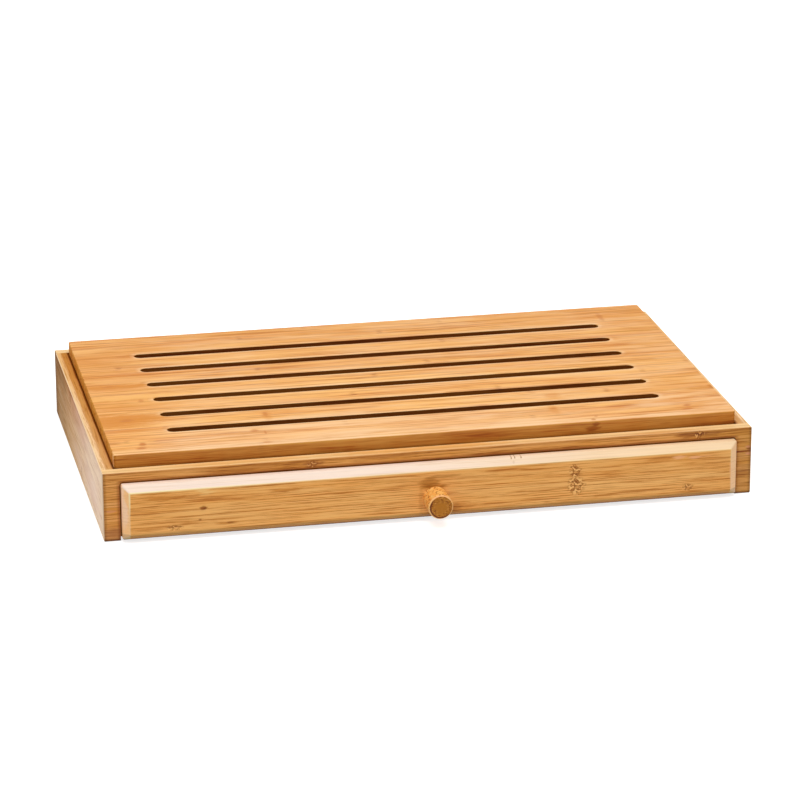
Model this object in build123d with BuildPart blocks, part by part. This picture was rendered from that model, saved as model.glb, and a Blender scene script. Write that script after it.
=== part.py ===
from build123d import *
import os

# Bread board with crumb catcher: a bamboo box open at the top, a loose slotted board lying in it
# and a crumb drawer that draws out of its front.
# Millimetres, +Z up, front towards -Y, origin in the middle of the box's underside.

os.makedirs("parts", exist_ok=True)

overrun = 1            # how far every cut runs past the wood it leaves

# Box
box_width = 420
box_depth = 255
wall_height = 45
wall = 8
box_edge_radius = 0.9
front_rail_height = 6.2
stile_width = 10.6
opening_corner_radius = 2.2
floor_thickness = 3
floor_rebate = 4
ledge_width = 9
ledge_height = 9
ledge_chamfer = 0.6
guide_height = 12
guide_chamfer = 1

# Cutting board
board_thickness = 16
board_proud = 8.3
board_side_gap = 0.7
board_end_gap = 1.2
board_corner_radius = 2
board_edge_radius = 0.6
board_foot_chamfer = 0.8
slot_count = 6
slot_width = 8.8
slot_end_margin = 39.6
slot_row_margin = 41.5
slot_rim_chamfer = 0.4

# Drawer front
front_side_gap = 0.7
front_top_gap = 0.9
front_foot_gap = 2
front_proud = 7
front_stop_gap = 0.3
bevel_width = 4.5
bevel_foot_width = 3.1
bevel_depth = 3.4
front_corner_radius = 1
field_corner_radius = 0.8
front_edge_radius = 0.5
front_overhang = 4

# Drawer tray
tray_wall = 7
tray_run_gap = 0.3
tray_top_gap = 1.5
tray_back_gap = 4
tray_guide_gap = 0.8
tray_tail = 5
tray_edge_chamfer = 0.6
tray_floor_thickness = 3
tray_floor_lift = 2.5
tray_groove_depth = 3
tray_floor_play = 0.3
front_housing_depth = 4
back_housing_depth = 3
housing_play = 0.2

# Knob and its screw
knob_diameter = 16
knob_length = 17
knob_rim_radius = 1.8
knob_seat_chamfer = 0.4
screw_diameter = 3.5
screw_play = 0.2
screw_pilot_play = 0.1
screw_bite = 11
screw_tip_length = 3
screw_head_diameter = 7
screw_head_height = 2.2
screw_sink = 2.6
screw_slot_width = 1
screw_slot_depth = 1.2

# Dowels
dowel_diameter = 4
dowel_length = 20
dowel_play = 0.1
dowel_end_play = 0.4
dowel_panel_share = 0.625
corner_dowel_shares = (0.27, 0.73)

# Box places
box_front = -box_depth / 2
box_back = box_depth / 2
inner_width = box_width - 2 * wall
inner_depth = box_depth - 2 * wall
inner_front = box_front + wall
opening_width = box_width - 2 * stile_width
opening_height = wall_height - front_rail_height
floor_width = inner_width + 2 * floor_rebate

# Board places
board_width = inner_width - 2 * board_side_gap
board_depth = inner_depth - 2 * board_end_gap
board_under = wall_height + board_proud - board_thickness
slot_length = board_width - 2 * slot_end_margin
slot_pitch = (board_depth - 2 * slot_row_margin) / (slot_count - 1)
ledge_under = board_under - ledge_height

# Drawer places
front_width = opening_width - 2 * front_side_gap
front_height = opening_height - front_top_gap - front_foot_gap
field_height = front_height - bevel_width - bevel_foot_width
front_face = box_front - front_proud
front_shoulder = front_face + bevel_depth
front_inside = inner_front - front_stop_gap
tray_width = front_width - 2 * front_overhang
tray_inner_width = tray_width - 2 * tray_wall
tray_foot = floor_thickness + tray_run_gap
tray_height = ledge_under - tray_top_gap - tray_foot
tray_front = front_inside - front_housing_depth
tray_end = box_back - wall - tray_back_gap
tray_back_face = tray_end - tray_tail - tray_wall
tray_floor_under = tray_foot + tray_floor_lift
groove_width = tray_inner_width + 2 * tray_groove_depth
guide_width = (inner_width - tray_width) / 2 - tray_guide_gap
knob_height = tray_foot + tray_height / 2
knob_axis = Axis((0, 0, knob_height), (0, -1, 0))

# Corner dowels, placed as (across, up) on a plane that faces the front
dowel_hole_radius = (dowel_diameter + dowel_play) / 2
dowel_in_panel = wall * dowel_panel_share
corner_dowel_places = [
    (side * (box_width - wall) / 2, share * wall_height)
    for side in (-1, 1)
    for share in corner_dowel_shares
]


def facing_front(y):
    """Plane at y that faces the front: its x runs to the right and its y runs up."""
    return Plane.XZ.offset(-y)


def facing_right(x):
    """Plane at x that faces right: its x runs to the back and its y runs up."""
    return Plane.YZ.offset(x)


def outer_edges(panel, y):
    """Edges of a front or back panel that stay in the open: those of its outer face at y above
    and below, its two upright corners there, and the upper and lower edge of each end."""
    on_face = panel.edges().filter_by_position(Axis.Y, y - overrun, y + overrun)
    uprights = on_face.filter_by(Axis.Z).sort_by(Axis.X)
    across = on_face.filter_by(Axis.X).group_by(Axis.Z)
    ends = panel.edges().filter_by(Axis.Y).sort_by(Axis.X)
    return ShapeList([uprights[0], uprights[-1]]) + across[0] + across[-1] + ends[:2] + ends[-2:]


# Front panel: one board with its grain across, cut away below for the drawer
with BuildPart() as front_panel:
    with BuildSketch(facing_front(box_front)):
        Rectangle(box_width, wall_height, align=(Align.CENTER, Align.MIN))
        with BuildSketch(mode=Mode.SUBTRACT) as drawer_opening:
            Rectangle(opening_width, opening_height, align=(Align.CENTER, Align.MIN))
            fillet(drawer_opening.vertices().group_by(Axis.Y)[-1], opening_corner_radius)
    extrude(amount=-wall)
    fillet(outer_edges(front_panel, box_front), box_edge_radius)
    with BuildSketch(facing_front(inner_front)):
        with Locations(*corner_dowel_places):
            Circle(dowel_hole_radius)
    extrude(amount=dowel_in_panel + dowel_end_play, mode=Mode.SUBTRACT)

front_panel.part.label = "front_panel"
export_step(front_panel.part, "parts/front_panel.step")

# Back panel: a plain board, rebated below for the floor
with BuildPart() as back_panel:
    with BuildSketch(facing_front(box_back)):
        Rectangle(box_width, wall_height, align=(Align.CENTER, Align.MIN))
    extrude(amount=wall)
    fillet(outer_edges(back_panel, box_back), box_edge_radius)
    with BuildSketch(facing_front(box_back - wall - overrun)):
        Rectangle(floor_width, floor_thickness, align=(Align.CENTER, Align.MIN))
    extrude(amount=-(overrun + floor_rebate), mode=Mode.SUBTRACT)
    with BuildSketch(facing_front(box_back - wall)):
        with Locations(*corner_dowel_places):
            Circle(dowel_hole_radius)
    extrude(amount=-(dowel_in_panel + dowel_end_play), mode=Mode.SUBTRACT)

back_panel.part.label = "back_panel"
export_step(back_panel.part, "parts/back_panel.step")

# Side walls: between the front and back panels, rebated below for the floor
for name, side in (("left_side", -1), ("right_side", 1)):
    outermost = -1 if side > 0 else 0
    with BuildPart() as side_wall:
        with BuildSketch(Plane.XZ):
            with Locations((side * (box_width - wall) / 2, wall_height / 2)):
                Rectangle(wall, wall_height)
            with Locations((side * (floor_width - floor_rebate) / 2, floor_thickness / 2)):
                Rectangle(floor_rebate, floor_thickness, mode=Mode.SUBTRACT)
        extrude(amount=inner_depth / 2, both=True)
        fillet(side_wall.edges().filter_by(Axis.Y).group_by(Axis.X)[outermost], box_edge_radius)
        side_dowel_places = [place for place in corner_dowel_places if place[0] * side > 0]
        for end in (-1, 1):
            with BuildSketch(facing_front(end * inner_depth / 2)):
                with Locations(*side_dowel_places):
                    Circle(dowel_hole_radius)
            extrude(
                amount=end * (dowel_length - dowel_in_panel + dowel_end_play),
                mode=Mode.SUBTRACT,
            )
    side_wall.part.label = name
    export_step(side_wall.part, f"parts/{name}.step")

# Dowels that pin the four corners, two in each
with BuildPart() as corner_dowels:
    for end in (-1, 1):
        with BuildSketch(facing_front(end * (inner_depth / 2 + dowel_in_panel))):
            with Locations(*corner_dowel_places):
                Circle(dowel_diameter / 2)
        extrude(amount=end * dowel_length)

corner_dowels.part.label = "corner_dowels"
export_step(corner_dowels.part, "parts/corner_dowels.step")

# Floor: a thin panel flush with the underside, let into the side walls and the back panel
with BuildPart() as floor_panel:
    with BuildSketch(Plane.XY):
        with Locations((0, inner_front)):
            Rectangle(floor_width, inner_depth + floor_rebate, align=(Align.CENTER, Align.MIN))
    extrude(amount=floor_thickness)

floor_panel.part.label = "floor_panel"
export_step(floor_panel.part, "parts/floor_panel.step")

# Ledges under the cutting board: two along the side walls, two across between them
for name, side in (("left_ledge", -1), ("right_ledge", 1)):
    with BuildPart() as side_ledge:
        with BuildSketch(Plane.XY.offset(ledge_under)):
            with Locations((side * (inner_width - ledge_width) / 2, 0)):
                Rectangle(ledge_width, inner_depth)
        extrude(amount=ledge_height)
        innermost = 0 if side > 0 else -1
        inner_edges = side_ledge.edges().filter_by(Axis.Y).group_by(Axis.X)[innermost]
        chamfer(inner_edges.sort_by(Axis.Z)[0], ledge_chamfer)
    side_ledge.part.label = name
    export_step(side_ledge.part, f"parts/{name}.step")

for name, end in (("front_ledge", -1), ("back_ledge", 1)):
    with BuildPart() as cross_ledge:
        with BuildSketch(Plane.XY.offset(ledge_under)):
            with Locations((0, end * (inner_depth - ledge_width) / 2)):
                Rectangle(inner_width - 2 * ledge_width, ledge_width)
        extrude(amount=ledge_height)
        innermost = 0 if end > 0 else -1
        inner_edges = cross_ledge.edges().filter_by(Axis.X).group_by(Axis.Y)[innermost]
        chamfer(inner_edges.sort_by(Axis.Z)[0], ledge_chamfer)
    cross_ledge.part.label = name
    export_step(cross_ledge.part, f"parts/{name}.step")

# Guides: strips on the floor that keep the drawer straight and stop its front when it is shut
for name, side in (("left_guide", -1), ("right_guide", 1)):
    with BuildPart() as guide:
        with BuildSketch(Plane.XY.offset(floor_thickness)):
            with Locations((side * (inner_width - guide_width) / 2, 0)):
                Rectangle(guide_width, inner_depth)
        extrude(amount=guide_height)
        innermost = 0 if side > 0 else -1
        inner_edges = guide.edges().filter_by(Axis.Y).group_by(Axis.X)[innermost]
        chamfer(inner_edges.sort_by(Axis.Z)[-1], guide_chamfer)
    guide.part.label = name
    export_step(guide.part, f"parts/{name}.step")

# Cutting board: a thick slab with rows of round-ended crumb slots right through it
with BuildPart() as cutting_board:
    with BuildSketch(Plane.XY.offset(board_under)):
        RectangleRounded(board_width, board_depth, board_corner_radius)
        with GridLocations(0, slot_pitch, 1, slot_count):
            SlotOverall(slot_length, slot_width, mode=Mode.SUBTRACT)
    extrude(amount=board_thickness)
    fillet(cutting_board.faces().sort_by(Axis.Z)[-1].outer_wire().edges(), board_edge_radius)
    chamfer(cutting_board.faces().sort_by(Axis.Z)[0].outer_wire().edges(), board_foot_chamfer)
    slot_rims = cutting_board.faces().sort_by(Axis.Z)[-1].inner_wires()
    chamfer([edge for rim in slot_rims for edge in rim.edges()], slot_rim_chamfer)

cutting_board.part.label = "cutting_board"
export_step(cutting_board.part, "parts/cutting_board.step")

# Drawer front: a thick board with rounded corners, its flat field raised by a bevel all round
with BuildPart() as drawer_front:
    with BuildSketch(facing_front(front_inside)):
        with Locations((0, front_foot_gap + front_height / 2)):
            RectangleRounded(front_width, front_height, front_corner_radius)
    extrude(amount=front_inside - front_shoulder)
    with BuildSketch(facing_front(front_shoulder)):
        with Locations((0, front_foot_gap + front_height / 2)):
            RectangleRounded(front_width, front_height, front_corner_radius)
    with BuildSketch(facing_front(front_face)):
        with Locations((0, front_foot_gap + bevel_foot_width + field_height / 2)):
            RectangleRounded(front_width - 2 * bevel_width, field_height, field_corner_radius)
    loft(ruled=True)
    field_edges = drawer_front.faces().sort_by(Axis.Y)[0].edges()
    shoulder_edges = drawer_front.edges().filter_by_position(
        Axis.Y, front_shoulder - front_edge_radius / 2, front_shoulder + front_edge_radius / 2
    )
    fillet(field_edges + shoulder_edges, front_edge_radius)
    with BuildSketch(facing_front(front_inside + overrun)):
        with Locations((0, tray_floor_under)):
            Rectangle(groove_width, tray_floor_thickness, align=(Align.CENTER, Align.MIN))
    extrude(amount=overrun + tray_groove_depth, mode=Mode.SUBTRACT)
    with BuildSketch(facing_front(front_inside + overrun)):
        with GridLocations(tray_width - tray_wall, 0, 2, 1):
            Rectangle(tray_wall, tray_foot + tray_height, align=(Align.CENTER, Align.MIN))
    extrude(amount=overrun + front_housing_depth + housing_play, mode=Mode.SUBTRACT)
    with Locations(Plane(origin=(0, front_inside, knob_height), x_dir=(-1, 0, 0), z_dir=(0, 1, 0))):
        CounterBoreHole(
            radius=screw_diameter / 2 + screw_play,
            counter_bore_radius=screw_head_diameter / 2 + screw_play,
            counter_bore_depth=screw_sink,
        )

drawer_front.part.label = "drawer_front"
export_step(drawer_front.part, "parts/drawer_front.step")

# Tray sides: let into the drawer front, grooved inside for the tray floor and housed for the back
for name, side in (("tray_left_side", -1), ("tray_right_side", 1)):
    with BuildPart() as tray_side:
        with BuildSketch(facing_front(tray_front)):
            with Locations((side * (tray_width - tray_wall) / 2, tray_foot)):
                Rectangle(tray_wall, tray_height, align=(Align.CENTER, Align.MIN))
            with Locations((side * (groove_width - tray_groove_depth) / 2, tray_floor_under)):
                Rectangle(
                    tray_groove_depth,
                    tray_floor_thickness,
                    align=(Align.CENTER, Align.MIN),
                    mode=Mode.SUBTRACT,
                )
        extrude(amount=tray_front - tray_end)
        chamfer(tray_side.edges().filter_by(Axis.Y).group_by(Axis.Z)[-1], tray_edge_chamfer)
        with BuildSketch(facing_right(side * (tray_inner_width / 2 - overrun))):
            with Locations((tray_back_face, tray_foot - overrun)):
                Rectangle(tray_wall, tray_height + 2 * overrun, align=(Align.MIN, Align.MIN))
        extrude(amount=side * (overrun + back_housing_depth + housing_play), mode=Mode.SUBTRACT)
    tray_side.part.label = name
    export_step(tray_side.part, f"parts/{name}.step")

# Tray back: let into both tray sides, grooved in front for the tray floor
with BuildPart() as tray_back:
    with BuildSketch(facing_right(-tray_inner_width / 2 - back_housing_depth)):
        with Locations((tray_back_face, tray_foot)):
            Rectangle(tray_wall, tray_height, align=(Align.MIN, Align.MIN))
        with Locations((tray_back_face, tray_floor_under)):
            Rectangle(
                tray_groove_depth,
                tray_floor_thickness,
                align=(Align.MIN, Align.MIN),
                mode=Mode.SUBTRACT,
            )
    extrude(amount=tray_inner_width + 2 * back_housing_depth)

tray_back.part.label = "tray_back"
export_step(tray_back.part, "parts/tray_back.step")

# Tray floor: a thin panel held in the grooves all round
with BuildPart() as tray_floor:
    with BuildSketch(Plane.XY.offset(tray_floor_under)):
        reach = tray_groove_depth - tray_floor_play
        with Locations((0, front_inside - reach)):
            Rectangle(
                tray_inner_width + 2 * reach,
                tray_back_face - front_inside + 2 * reach,
                align=(Align.CENTER, Align.MIN),
            )
    extrude(amount=tray_floor_thickness)

tray_floor.part.label = "tray_floor"
export_step(tray_floor.part, "parts/tray_floor.step")

# Knob: turned, with a round rim and a pilot hole for the screw
with BuildPart() as drawer_knob:
    with BuildSketch(Plane.XY.offset(knob_height)) as knob_profile:
        with Locations((0, front_face)):
            Rectangle(knob_diameter / 2, knob_length, align=(Align.MIN, Align.MAX))
        rim_corner, seat_corner = knob_profile.vertices().group_by(Axis.X)[-1].sort_by(Axis.Y)
        fillet(rim_corner, knob_rim_radius)
        chamfer(seat_corner, knob_seat_chamfer)
        with Locations((0, front_face + overrun)):
            Rectangle(
                screw_diameter / 2 + screw_pilot_play,
                overrun + screw_bite + screw_play,
                align=(Align.MIN, Align.MAX),
                mode=Mode.SUBTRACT,
            )
    revolve(axis=knob_axis)

drawer_knob.part.label = "drawer_knob"
export_step(drawer_knob.part, "parts/drawer_knob.step")

# Knob screw: driven from inside the drawer, its head sunk below the wood
with BuildPart() as knob_screw:
    head_seat = front_inside - screw_sink
    with BuildSketch(Plane.XY.offset(knob_height)):
        with BuildLine():
            Polyline(
                (0, head_seat + screw_head_height),
                (screw_head_diameter / 4, head_seat + screw_head_height),
                (screw_head_diameter / 2, head_seat + screw_head_height / 2),
                (screw_head_diameter / 2, head_seat),
                (screw_diameter / 2, head_seat),
                (screw_diameter / 2, front_face - screw_bite + screw_tip_length),
                (0, front_face - screw_bite),
                close=True,
            )
        make_face()
    revolve(axis=knob_axis)
    with BuildSketch(facing_front(head_seat + screw_head_height + overrun)):
        with Locations((0, knob_height)):
            Rectangle(screw_head_diameter, screw_slot_width)
            Rectangle(screw_slot_width, screw_head_diameter)
    extrude(amount=overrun + screw_slot_depth, mode=Mode.SUBTRACT)

knob_screw.part.label = "knob_screw"
export_step(knob_screw.part, "parts/knob_screw.step")
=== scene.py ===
"""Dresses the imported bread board: laminated bamboo for its pieces, a turned knob, and the stage."""

import math

import bpy
from bpy.props import FloatProperty, FloatVectorProperty, IntProperty, PointerProperty
from mathutils import Matrix, Vector


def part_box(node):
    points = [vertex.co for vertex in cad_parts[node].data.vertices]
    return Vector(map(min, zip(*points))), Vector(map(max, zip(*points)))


bl_info = {
    "name": "Bread board with crumb drawer",
    "version": (1, 0, 0),
    "blender": (4, 5, 0),
    "location": "View3D > Sidebar > Bread board",
    "description": "Finishes a slotted bamboo bread board, its box and its crumb drawer",
    "category": "Object",
}

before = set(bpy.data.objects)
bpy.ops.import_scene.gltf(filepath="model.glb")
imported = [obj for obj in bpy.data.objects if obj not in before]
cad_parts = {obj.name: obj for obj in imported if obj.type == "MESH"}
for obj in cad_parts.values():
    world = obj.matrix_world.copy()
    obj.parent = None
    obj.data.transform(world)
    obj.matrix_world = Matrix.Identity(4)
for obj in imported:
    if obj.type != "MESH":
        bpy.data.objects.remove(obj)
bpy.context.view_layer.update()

MM = 0.001
X, Y, Z = 0, 1, 2


# Colours and lengths as properties

def linear(red, green, blue):
    """A colour given in 0 to 255, as the linear colour that shaders take."""
    channels = (value / 255 for value in (red, green, blue))
    return tuple(((c + 0.055) / 1.055) ** 2.4 if c > 0.04045 else c / 12.92 for c in channels)


def tone(name, description, red, green, blue):
    return FloatVectorProperty(
        name=name,
        description=description,
        default=linear(red, green, blue),
        size=3,
        min=0,
        max=1,
        subtype="COLOR",
    )


def number(name, description, default, **limits):
    return FloatProperty(name=name, description=description, default=default, **limits)


def length(name, description, millimetres):
    return number(name, description, millimetres * MM, min=0, unit="LENGTH", precision=5)


def share(name, description, default):
    return number(name, description, default, min=0, max=1, subtype="FACTOR")


def angle(name, description, degrees):
    return number(name, description, math.radians(degrees), subtype="ANGLE")


def place(name, description, *millimetres):
    corner = [value * MM for value in millimetres]
    return FloatVectorProperty(
        name=name, description=description, default=corner, size=3, unit="LENGTH", precision=5
    )


# Names and descriptions that several finishes share
PALE = ("Pale laths", "Colour of the palest laths")
DEEP = ("Deep laths", "Colour of the deepest laths")
FIBRE = ("Fibre tint", "Tint of the fibres that run along the grain")
KNUCKLE = ("Knuckle tint", "Tint of the knuckles across the laths")
END = ("End grain tint", "Tint of the sawn ends of the laths")
BLUSH = ("Blush", "Colour of the pinkish streaks and patches")
SHADE_PATCH = ("Shade tint", "Tint of the painted shade patches")
FOOT_SHADE_LINE = ("Foot line", "Painted shade along the lowest edge")
ARRIS = ("Arris", "Painted highlight on the edge between two faces")
LATH_WIDTH = ("Lath width", "Width of one lath")
FIBRE_GAP = ("Fibre gap", "Distance between neighbouring fibres")
STREAK_WIDTH = ("Streak width", "Width of the streaks within a lath")
KNUCKLE_GAP = ("Knuckle gap", "Distance between the knuckles of one lath")
ROUGHNESS = ("Roughness", "Roughness of the surface")
GLOSS = ("Gloss", "Specular level of the surface")


class BoardFinish(bpy.types.PropertyGroup):
    """Edge-grain bamboo of the cutting board."""

    pale: tone(*PALE, 254, 190, 103)
    deep: tone(*DEEP, 232, 150, 58)
    peach: tone("Peach wood", "Colour of the pinkish patches in some laths", 254, 205, 150)
    rim: tone("Rim highlight", "Painted highlight along the rims of the slots and the front edge", 255, 212, 158)
    amber: tone("Amber wood", "Colour of the deeper patches in some laths", 221, 136, 18)
    fibre: tone(*FIBRE, 208, 176, 106)
    knuckle: tone(*KNUCKLE, 204, 168, 96)
    knot: tone("Knots", "Colour of the brown knots across the laths", 204, 114, 22)
    face: tone("Lath face tint", "Tint of the outer laths on the front and back", 206, 178, 112)
    shadow: tone("Lower edge tint", "Painted shade on the lower part of the board's edges", 190, 156, 96)
    end: tone(*END, 240, 230, 182)
    slot: tone("Slot tint", "Tint of the routed walls of the slots, with painted shade", 131, 96, 48)
    lath_width: length(*LATH_WIDTH, 7)
    fibre_gap: length(*FIBRE_GAP, 2.2)
    streak_width: length(*STREAK_WIDTH, 2.2)
    knuckle_gap: length(*KNUCKLE_GAP, 520)
    slot_width: length("Slot width", "Width of a crumb slot", 8.8)
    slot_end_margin: length("Slot end margin", "Wood between a slot and the board's end", 39.6)
    slot_row_margin: length("Slot row margin", "From the board's front to the first slot", 41.5)
    slot_count: IntProperty(name="Slots", description="How many slots it has", default=6, min=2)
    roughness: share(*ROUGHNESS, 0.45)
    gloss: share(*GLOSS, 0.2)


class BoxFinish(bpy.types.PropertyGroup):
    """Bamboo of the box's front and back panels."""

    pale: tone(*PALE, 240, 176, 102)
    deep: tone(*DEEP, 221, 149, 62)
    fibre: tone(*FIBRE, 192, 164, 112)
    knuckle: tone(*KNUCKLE, 178, 140, 96)
    end: tone(*END, 250, 240, 226)
    end_front_lit: tone("Ends, front", "Colour of the panels' ends at the front, painted pale as lit", 255, 222, 182)
    end_back_shaded: tone("Ends, back", "Colour of the panels' ends at the back, painted dark as shaded", 182, 148, 120)
    top: tone("Top edge", "Colour of the top edge, painted pale as its highlight", 255, 214, 153)
    top_warm: tone("Top edge, warm", "Colour of the warmer stretches of it", 244, 184, 110)
    right: tone("Right tint", "Painted shade at the right end", 244, 248, 250)
    low: tone("Foot wood", "Colour of the browner wood low down at the left", 184, 122, 78)
    foot_shade: tone(*FOOT_SHADE_LINE, 158, 144, 108)
    rail: tone("Rail shade", "Painted shade along the rail's lower edge and the stiles beside the opening", 166, 130, 92)
    notch: tone("Opening", "Colour of the sawn edge round the drawer's opening", 196, 112, 44)
    glue: tone("Glue line", "Tint of the glue line at the right end", 168, 122, 74)
    blush: tone(*BLUSH, 222, 150, 110)
    stile_width: length("Stile width", "Width of the wood beside the drawer's opening", 10.6)
    rail_height: length("Rail height", "Height of the rail above the drawer's opening", 6.2)
    lath_width: length(*LATH_WIDTH, 7.5)
    fibre_gap: length(*FIBRE_GAP, 0.95)
    streak_width: length(*STREAK_WIDTH, 0.7)
    knuckle_gap: length(*KNUCKLE_GAP, 900)
    roughness: share(*ROUGHNESS, 0.46)
    gloss: share(*GLOSS, 0.2)


class SideFinish(bpy.types.PropertyGroup):
    """Bamboo of the box's side walls, glued up from an outer and an inner ply."""

    pale: tone(*PALE, 252, 214, 166)
    deep: tone(*DEEP, 236, 186, 130)
    fibre: tone(*FIBRE, 218, 196, 166)
    knuckle: tone(*KNUCKLE, 206, 180, 150)
    end: tone(*END, 220, 204, 180)
    back: tone("Back tint", "Painted shade towards the back", 226, 225, 230)
    outer: tone("Outer ply", "Colour of the outer ply's edge", 255, 219, 166)
    outer_far: tone("Outer ply tint, back", "Tint of that edge towards the back", 252, 236, 212)
    inner: tone("Inner ply", "Colour of the inner ply's edge", 216, 159, 84)
    shade_tint: tone(*SHADE_PATCH, 178, 134, 76)
    blush: tone(*BLUSH, 238, 194, 166)
    upper: tone("Upper tint", "Painted shade on the upper part of the outer face", 232, 202, 180)
    corner: tone("Corner tint", "Painted shade on the outer face at the back corner", 226, 216, 204)
    arris: tone(*ARRIS, 255, 222, 176)
    lath_width: length(*LATH_WIDTH, 11)
    fibre_gap: length(*FIBRE_GAP, 1.1)
    streak_width: length(*STREAK_WIDTH, 1.2)
    knuckle_gap: length(*KNUCKLE_GAP, 700)
    roughness: share(*ROUGHNESS, 0.4)
    gloss: share("Gloss, front", "Specular level of the surface near the front", 0.4)


class DrawerFinish(bpy.types.PropertyGroup):
    """Flat-grain bamboo of the drawer front."""

    pale: tone(*PALE, 254, 196, 118)
    deep: tone(*DEEP, 243, 170, 84)
    fibre: tone(*FIBRE, 194, 162, 112)
    knuckle: tone(*KNUCKLE, 172, 140, 92)
    end: tone(*END, 240, 228, 212)
    stain: tone("Stain tint", "Tint of the deeper patches in the field", 216, 190, 138)
    shade_tint: tone(*SHADE_PATCH, 180, 158, 88)
    bevel: tone("Bevel, left", "Colour of the paler wood that it lays bare, painted paler as its highlight", 254, 236, 222)
    bevel_right: tone("Bevel, right", "Colour of the bevel at the right", 255, 226, 186)
    cream: tone("Cream", "Colour of the cream streaks", 255, 208, 132)
    side_inner: tone("Side bevels, inside", "Their colour next to the field", 255, 196, 122)
    side_outer: tone("Side bevels, outside", "Their colour next to the box, painted pale as a highlight", 255, 211, 168)
    side_right: tone("Right bevel", "Colour of the bevel at the right end", 255, 203, 142)
    blush: tone(*BLUSH, 252, 184, 128)
    inside: tone("Inside", "Painted shade colour of the faces inside the box", 214, 134, 62)
    foot_shade: tone("Foot tint", "Painted shade on the bevel underneath", 250, 238, 170)
    foot_shade_line: tone(*FOOT_SHADE_LINE, 160, 130, 92)
    low: tone("Lower edge", "Painted shade along the field's lower edge", 208, 210, 204)
    arris: tone(*ARRIS, 255, 236, 176)
    bevel_width: length("Bevel width", "Width of the bevel at the top and the sides", 4.5)
    bevel_foot_width: length("Lower bevel width", "Width of the bevel underneath", 3.1)
    lath_width: length(*LATH_WIDTH, 19)
    fibre_gap: length(*FIBRE_GAP, 0.9)
    streak_width: length(*STREAK_WIDTH, 0.55)
    knuckle_gap: length(*KNUCKLE_GAP, 900)
    roughness: share(*ROUGHNESS, 0.42)
    gloss: share(*GLOSS, 0.2)


class TrayFinish(bpy.types.PropertyGroup):
    """Plain bamboo of the tray, the thin panels and the strips inside the box."""

    pale: tone(*PALE, 242, 196, 138)
    deep: tone(*DEEP, 222, 168, 104)
    fibre: tone(*FIBRE, 212, 188, 162)
    knuckle: tone(*KNUCKLE, 196, 164, 134)
    end: tone(*END, 214, 194, 166)
    lath_width: length(*LATH_WIDTH, 17)
    fibre_gap: length(*FIBRE_GAP, 1.1)
    streak_width: length(*STREAK_WIDTH, 1.3)
    knuckle_gap: length(*KNUCKLE_GAP, 260)
    roughness: share(*ROUGHNESS, 0.6)
    gloss: share(*GLOSS, 0.1)


class KnobFinish(bpy.types.PropertyGroup):
    """Turned bamboo of the knob, with the ends of its fibres on its side."""

    pale: tone("Pale wood", "Colour of the palest wood", 255, 200, 116)
    deep: tone("Deep wood", "Colour of the deepest wood", 236, 156, 66)
    fibre: tone("Fibre tint", "Tint of the fibres in the flat end", 146, 94, 44)
    speck: tone("Specks", "Colour of the cut ends of the fibres", 168, 88, 12)
    disc: tone("Disc", "Colour of the flat end of the knob", 184, 116, 28)
    fleck: tone("Pale flecks", "Colour of the pale flecks in the flat end", 226, 162, 90)
    rim: tone("Rim", "Painted highlight on the rim round the flat end", 255, 204, 132)
    blush: tone(*BLUSH, 246, 186, 134)
    fibre_gap: length(*FIBRE_GAP, 1.65)
    diameter: length("Diameter", "Diameter of the knob", 16)
    roughness: share(*ROUGHNESS, 0.4)
    gloss: share(*GLOSS, 0.2)


class FittingFinish(bpy.types.PropertyGroup):
    """Beech of the dowels and steel of the screw."""

    beech: tone("Beech", "Colour of the dowels", 222, 190, 148)
    beech_flecks: tone("Beech flecks", "Colour of the flecks in the dowels", 176, 132, 92)
    steel: tone("Steel", "Colour of the screw", 196, 198, 202)


class StageSettings(bpy.types.PropertyGroup):
    """Camera, lamps and floor."""

    eye: place("Eye", "Where the camera stands", -453.46, -2190.95, 798.96)
    yaw: angle("Yaw", "Turn of the camera to the right", 11.83)
    pitch: angle("Pitch", "Tilt of the camera downwards", 18.83)
    roll: angle("Roll", "Lean of the camera", -0.14)
    lens: number("Lens", "Focal length in millimetres", 159.92, min=1)
    sensor: number("Sensor", "Width of the sensor in millimetres", 36, min=1)
    reach: number("Reach", "How far the camera sees, in metres", 50, min=1)
    key_place: place("Key place", "Where the large lamp hangs", -150, -700, 1950)
    key_size: length("Key size", "Side of the large square lamp", 1500)
    key_power: number("Key power", "Power of the large lamp", 30, min=0, unit="POWER")
    room_light: number("Room light", "Strength of the light from all round", 0.4, min=0)
    floor_tone: tone("Floor", "Colour of the pale floor", 220, 220, 220)
    floor_glow: share("Floor glow", "Strength that lifts the floor to white where it is seen", 0.74)
    floor_half: length("Floor half", "Half the side of the floor", 4000)
    floor_drop: length("Floor drop", "How far the floor lies below the box", 0.3)
    floor_roughness: share("Floor roughness", "Roughness of the floor", 0.9)


class BreadBoardSettings(bpy.types.PropertyGroup):
    """All that can be changed on the bread board."""

    board: PointerProperty(type=BoardFinish)
    box: PointerProperty(type=BoxFinish)
    side: PointerProperty(type=SideFinish)
    drawer: PointerProperty(type=DrawerFinish)
    tray: PointerProperty(type=TrayFinish)
    knob: PointerProperty(type=KnobFinish)
    fittings: PointerProperty(type=FittingFinish)
    stage: PointerProperty(type=StageSettings)


# Shader nodes

NODES_IN_ROW = 10
NODE_STEP = (190, -260)
GROUP_INPUT_PLACE = (-260, 0)
GROUP_OUTPUT_PLACE = (2000, 0)
WHITE = (1, 1, 1)


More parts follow.
